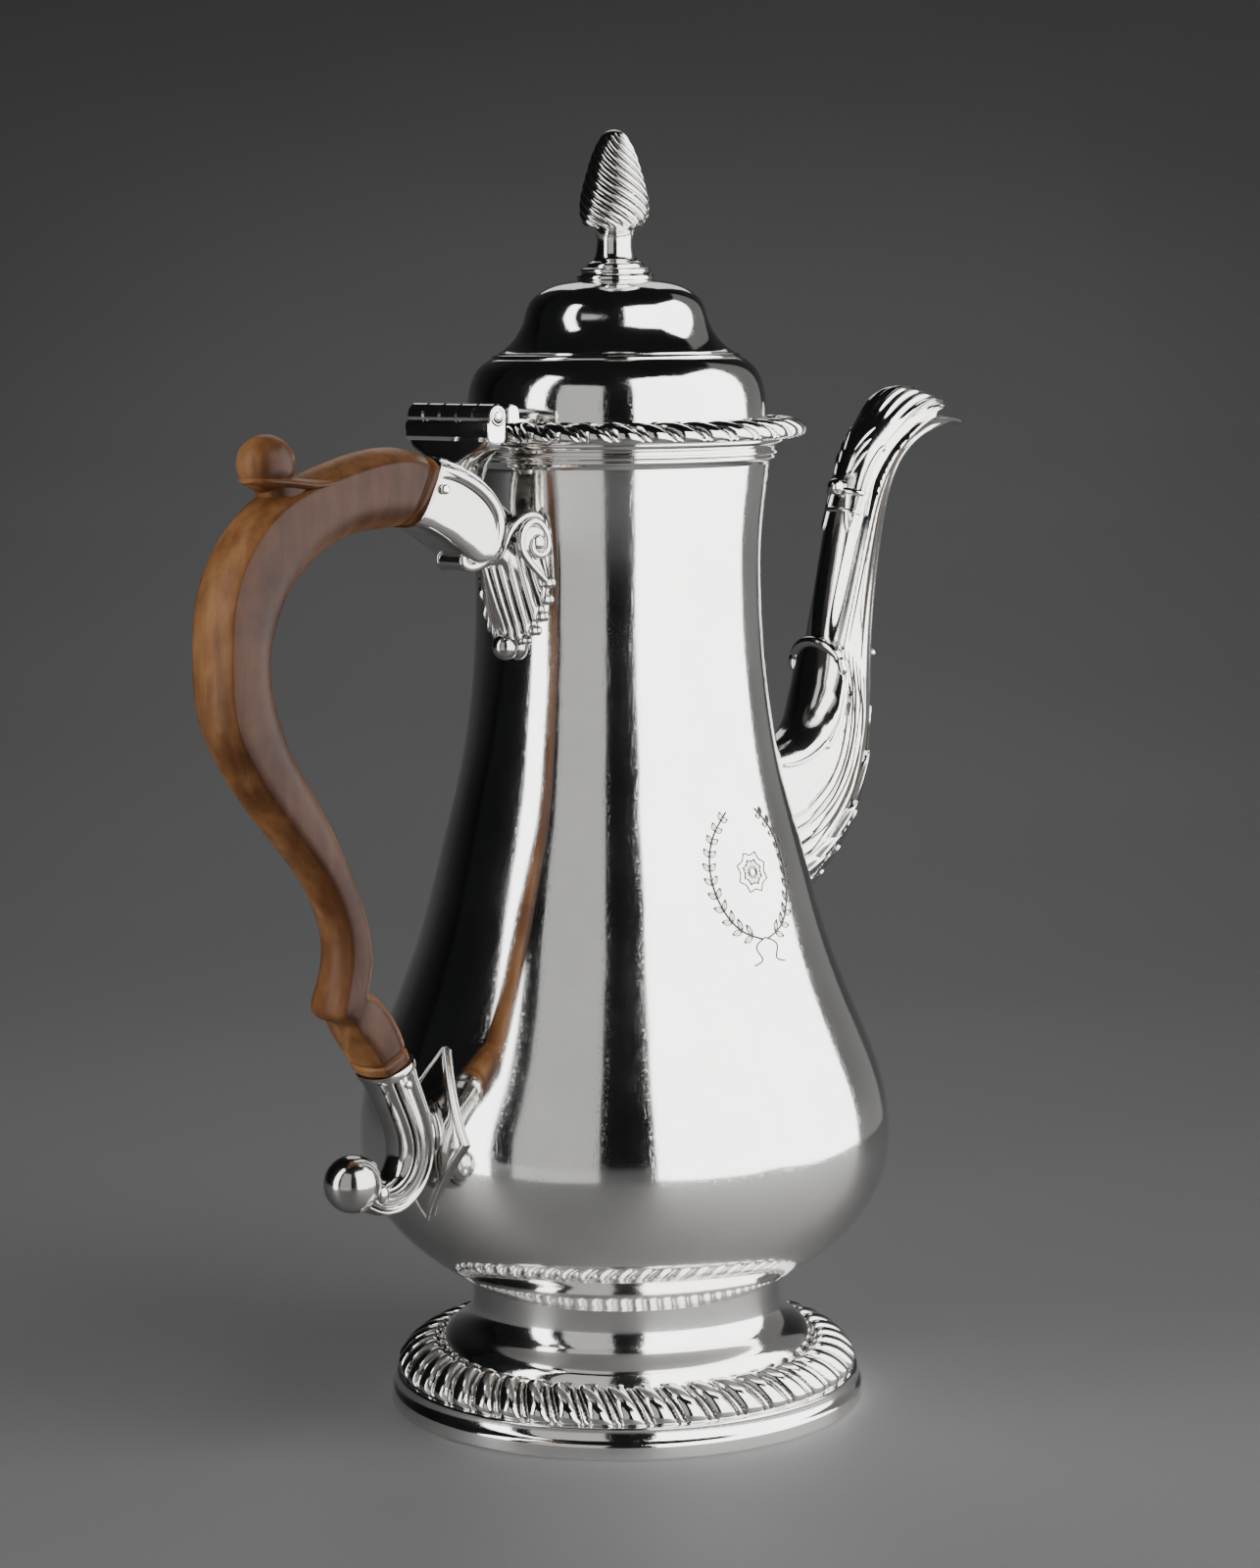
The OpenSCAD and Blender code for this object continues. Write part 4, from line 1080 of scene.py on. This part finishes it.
def build_hinge():
    """Fixed leaf with three knuckles, lid leaf with two and a flap, and the pin through them."""
    half = BARREL / 2
    leaf = [(-51.3, 224.7), (-51.35, 223.3), (-50.9, 222.4), (-49.6, 222.0), (-47.2, 222.0), (-46.4, 222.4),
            (-46.2, 223.3), (-46.25, 224.7)]
    fixed = [prism(leaf, -half, half, 0.25)]
    fixed.append(prism([(-51.3, 224.4), (-51.25, 226.1), (-51.05, 226.45), (-50.8, 226.3), (-50.8, 224.4)],
                       -half, half, 0.15))
    web = [(-50.9, 224.5), (-50.7, 226.8), (-48.3, 228.2), (-46.1, 226.8), (-46.25, 224.5)]
    for i in range(0, KNUCKLES, 2):
        fixed += [knuckle(i), prism(web, *knuckle_span(i), bevel=0.1)]
    make("hinge_fixed_silver", fixed, SILVER, replaces=["hinge_fixed_leaf"], sharp=28)
    block = [(-45.35, 226.1), (-45.35, 229.6), (-44.9, 230.15), (-43.4, 230.2), (-42.6, 229.8),
             (-42.1, 228.8), (-42.0, 227.0), (-42.2, 226.1)]
    moving = [prism(block, -half, half, 0.3)]
    flap = [(-42.6, 226.05), (-42.4, 227.4), (-39.6, 226.9), (-34.2, 226.7), (-33.4, 226.4), (-33.4, 226.05)]
    moving.append(prism(flap, -6.5, 6.5, 0.3))
    arm = [(-48.3, 226.3), (-48.3, 229.8), (-45.0, 229.7), (-45.0, 226.3)]
    for i in range(1, KNUCKLES, 2):
        moving += [knuckle(i), prism(arm, *knuckle_span(i), bevel=0.1)]
    make("hinge_moving_silver", moving, SILVER, body="lid", replaces=["hinge_lid_leaf"], sharp=28)
    washer_r, steps = 1.75, 41
    turn = np.linspace(0, TAU, steps)
    ring = np.stack([HINGE_X + washer_r * np.cos(turn), np.full(steps, -half),
                     HINGE_Z + washer_r * np.sin(turn)], axis=-1)
    ends = both(sweep(ring, 0.22, 12, (0, 1, 0), ends=False))
    ends += both(ball((HINGE_X, -half - 0.1, HINGE_Z), 1.15, 32, (1, 0.5, 1)))
    make("hinge_pin_silver", [pin(HINGE_X, HINGE_Z, half + 0.3, 1.0)] + ends, SILVER, replaces=["hinge_pin"])


# ---- engraving --------------------------------------------------------------

ENGRAVING_AT, ENGRAVING_Z = math.radians(-90), 126.5


def engraved(path, width=0.15):
    """A cut line on the side of the body: path is (sideways, up) from the ornament's middle."""
    path = np.array(path, float)
    z = ENGRAVING_Z + path[:, 1]
    r = body_radius(z) + 0.02
    theta = ENGRAVING_AT + path[:, 0] / r
    return sweep(about_z(r, theta, z), width * 1.3, 6)


def build_engraving():
    """A wreath of two leafy sprays round a rosette: plain ornament, no arms and no lettering."""
    strokes = []
    for side in (-1, 1):
        stem = spline([(0.6 * side, -14.5), (6.5 * side, -12.0), (10.6 * side, -6.0), (11.6 * side, 1.0),
                       (9.2 * side, 8.4), (4.6 * side, 13.4)], 60)
        strokes.append(engraved(stem, 0.17))
        way = tangents(stem)
        for k in range(5, 58, 5):
            root, heading = stem[k], math.atan2(way[k][1], way[k][0])
            size = 3.1 - 1.3 * k / 60
            for lean in (-0.75, 0.75):
                a = heading + lean
                for bulge in (-0.55, 0.0, 0.55):
                    q = np.linspace(0, 1, 12)
                    out = size * q
                    off = bulge * np.sin(q * math.pi)
                    leaf = np.stack([root[0] + out * math.cos(a) - off * math.sin(a),
                                     root[1] + out * math.sin(a) + off * math.cos(a)], axis=-1)
                    strokes.append(engraved(leaf, 0.11 if bulge else 0.08))
        tie = spline([(0, -14.2), (3.2 * side, -16.6), (2.2 * side, -18.6), (4.8 * side, -19.8)], 24)
        strokes.append(engraved(tie, 0.14))
    q = np.linspace(0, TAU, 97)
    for radius, depth, petals in ((4.6, 0.9, 8), (2.9, 0.6, 8)):
        r = radius - depth * np.abs(np.cos(q * petals / 2))
        strokes.append(engraved(np.stack([r * np.cos(q), r * np.sin(q)], axis=-1), 0.13))
    for radius in (0.9, 1.3):
        strokes.append(engraved(np.stack([radius * np.cos(q), radius * np.sin(q)], axis=-1), 0.12))
    for k in range(16):
        a = k * TAU / 16
        strokes.append(engraved([(r * math.cos(a), r * math.sin(a)) for r in (1.6, 2.1, 2.6)], 0.08))
    make("engraving_dark", strokes, ENGRAVED)


# ---- stage ------------------------------------------------------------------

VIEW_AZIMUTH = math.radians(-44)
RIGHT = np.array([math.cos(VIEW_AZIMUTH), math.sin(VIEW_AZIMUTH), 0])
AHEAD = np.array([-math.sin(VIEW_AZIMUTH), math.cos(VIEW_AZIMUTH), 0])


def build_camera():
    distance, to_the_right, height = 850, 2.1, 250
    pitch, roll = math.radians(7.2), math.radians(0.6)
    data = bpy.data.cameras.new("camera")
    data.lens = 86.04
    data.sensor_width = 36
    data.clip_end = 100
    camera = bpy.data.objects.new("camera", data)
    place = (-AHEAD * distance + RIGHT * to_the_right + (0, 0, height)) * MM
    turn = (Matrix.Rotation(VIEW_AZIMUTH, 4, "Z") @ Matrix.Rotation(math.pi / 2 - pitch, 4, "X")
            @ Matrix.Rotation(-roll, 4, "Z"))
    camera.matrix_world = Matrix.Translation(Vector(place)) @ turn
    bpy.context.collection.objects.link(camera)
    bpy.context.scene.camera = camera


def softbox(name, bearing, distance, width, height, centre_z, radiance, shown, towards_z=None):
    """A rectangular light, upright unless it is turned towards a height on the pot's axis.

    bearing is in degrees to the right of the camera's side, seen from the pot. shown says whether
    the silver mirrors the panel; the others only light what is matt.
    """
    a = math.radians(bearing)
    out = -AHEAD * math.cos(a) + RIGHT * math.sin(a)
    data = bpy.data.lights.new(name, "AREA")
    data.shape = "RECTANGLE"
    data.size, data.size_y = width * MM, height * MM
    data.energy = radiance * math.pi * data.size * data.size_y
    light = bpy.data.objects.new(name, data)
    place = out * distance + (0, 0, centre_z)
    aim = (0, 0, centre_z if towards_z is None else towards_z)
    light.location = Vector(place * MM)
    light.rotation_euler = Vector(place - aim).to_track_quat("Z", "Y").to_euler()
    light.visible_glossy = shown
    light.visible_diffuse = not shown
    bpy.context.collection.objects.link(light)


def build_stage():
    """A pale sweep, flat under the pot and curving up into a wall well behind it, between soft panels."""
    start, radius, reach, top = 500, 2200, 6000, 3500
    bend = np.linspace(0, math.pi / 2, 40)
    profile = [(-reach, 0)] + [(start + radius * math.sin(a), radius * (1 - math.cos(a))) for a in bend]
    profile.append((start + radius, top))
    verts = [tuple((AHEAD * y + RIGHT * x + (0, 0, z)) * MM) for y, z in profile for x in (-reach, reach)]
    mesh = bpy.data.meshes.new("floor")
    mesh.from_pydata(verts, [], [(2 * i, 2 * i + 1, 2 * i + 3, 2 * i + 2) for i in range(len(profile) - 1)])
    mesh.polygons.foreach_set("use_smooth", [True] * len(mesh.polygons))
    mesh.materials.append(plain_floor("floor_grey"))
    floor = bpy.data.objects.new("floor", mesh)
    bpy.context.collection.objects.link(floor)
    world = bpy.data.worlds.new("world")
    world.use_nodes = True
    dim_grey = (0.008, 0.0085, 0.009, 1)
    world.node_tree.nodes["Background"].inputs["Color"].default_value = dim_grey
    bpy.context.scene.world = world
    # Name, bearing, distance, width, height, height of its middle, radiance, mirrored or not, aim.
    for panel in (
            ("key_front", 40, 400, 408, 665, 335, 5.0, True),
            ("key_side", 90, 400, 340, 665, 335, 5.0, True),
            ("grey_side", 128, 400, 214, 665, 335, 0.15, True),
            ("fill_left", -27.5, 400, 252, 480, 242, 0.54, True),
            ("strip_left", -62, 400, 105, 665, 335, 5.0, True),
            ("back_high", 180, 1500, 900, 900, 1150, 1.0, True, 240),
            ("soft_right", 60, 1300, 1200, 1200, 1500, 3.0, False, 100),
            ("soft_left", -66, 1000, 700, 700, 420, 3.2, False, 150),
            ("soft_back", 175, 700, 1400, 600, 1700, 0.5, False, 0)):
        softbox(*panel)


for build in (build_camera, build_stage, build_body, build_foot, build_lid, build_finial, build_spout,
              build_grip, build_upper_socket, build_shell, build_lower_socket, build_plate, build_hinge,
              build_engraving):
    build()

for name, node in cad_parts.items():
    for slot in node.material_slots:
        slot.material = WOOD if name == "handle_grip" else SILVER
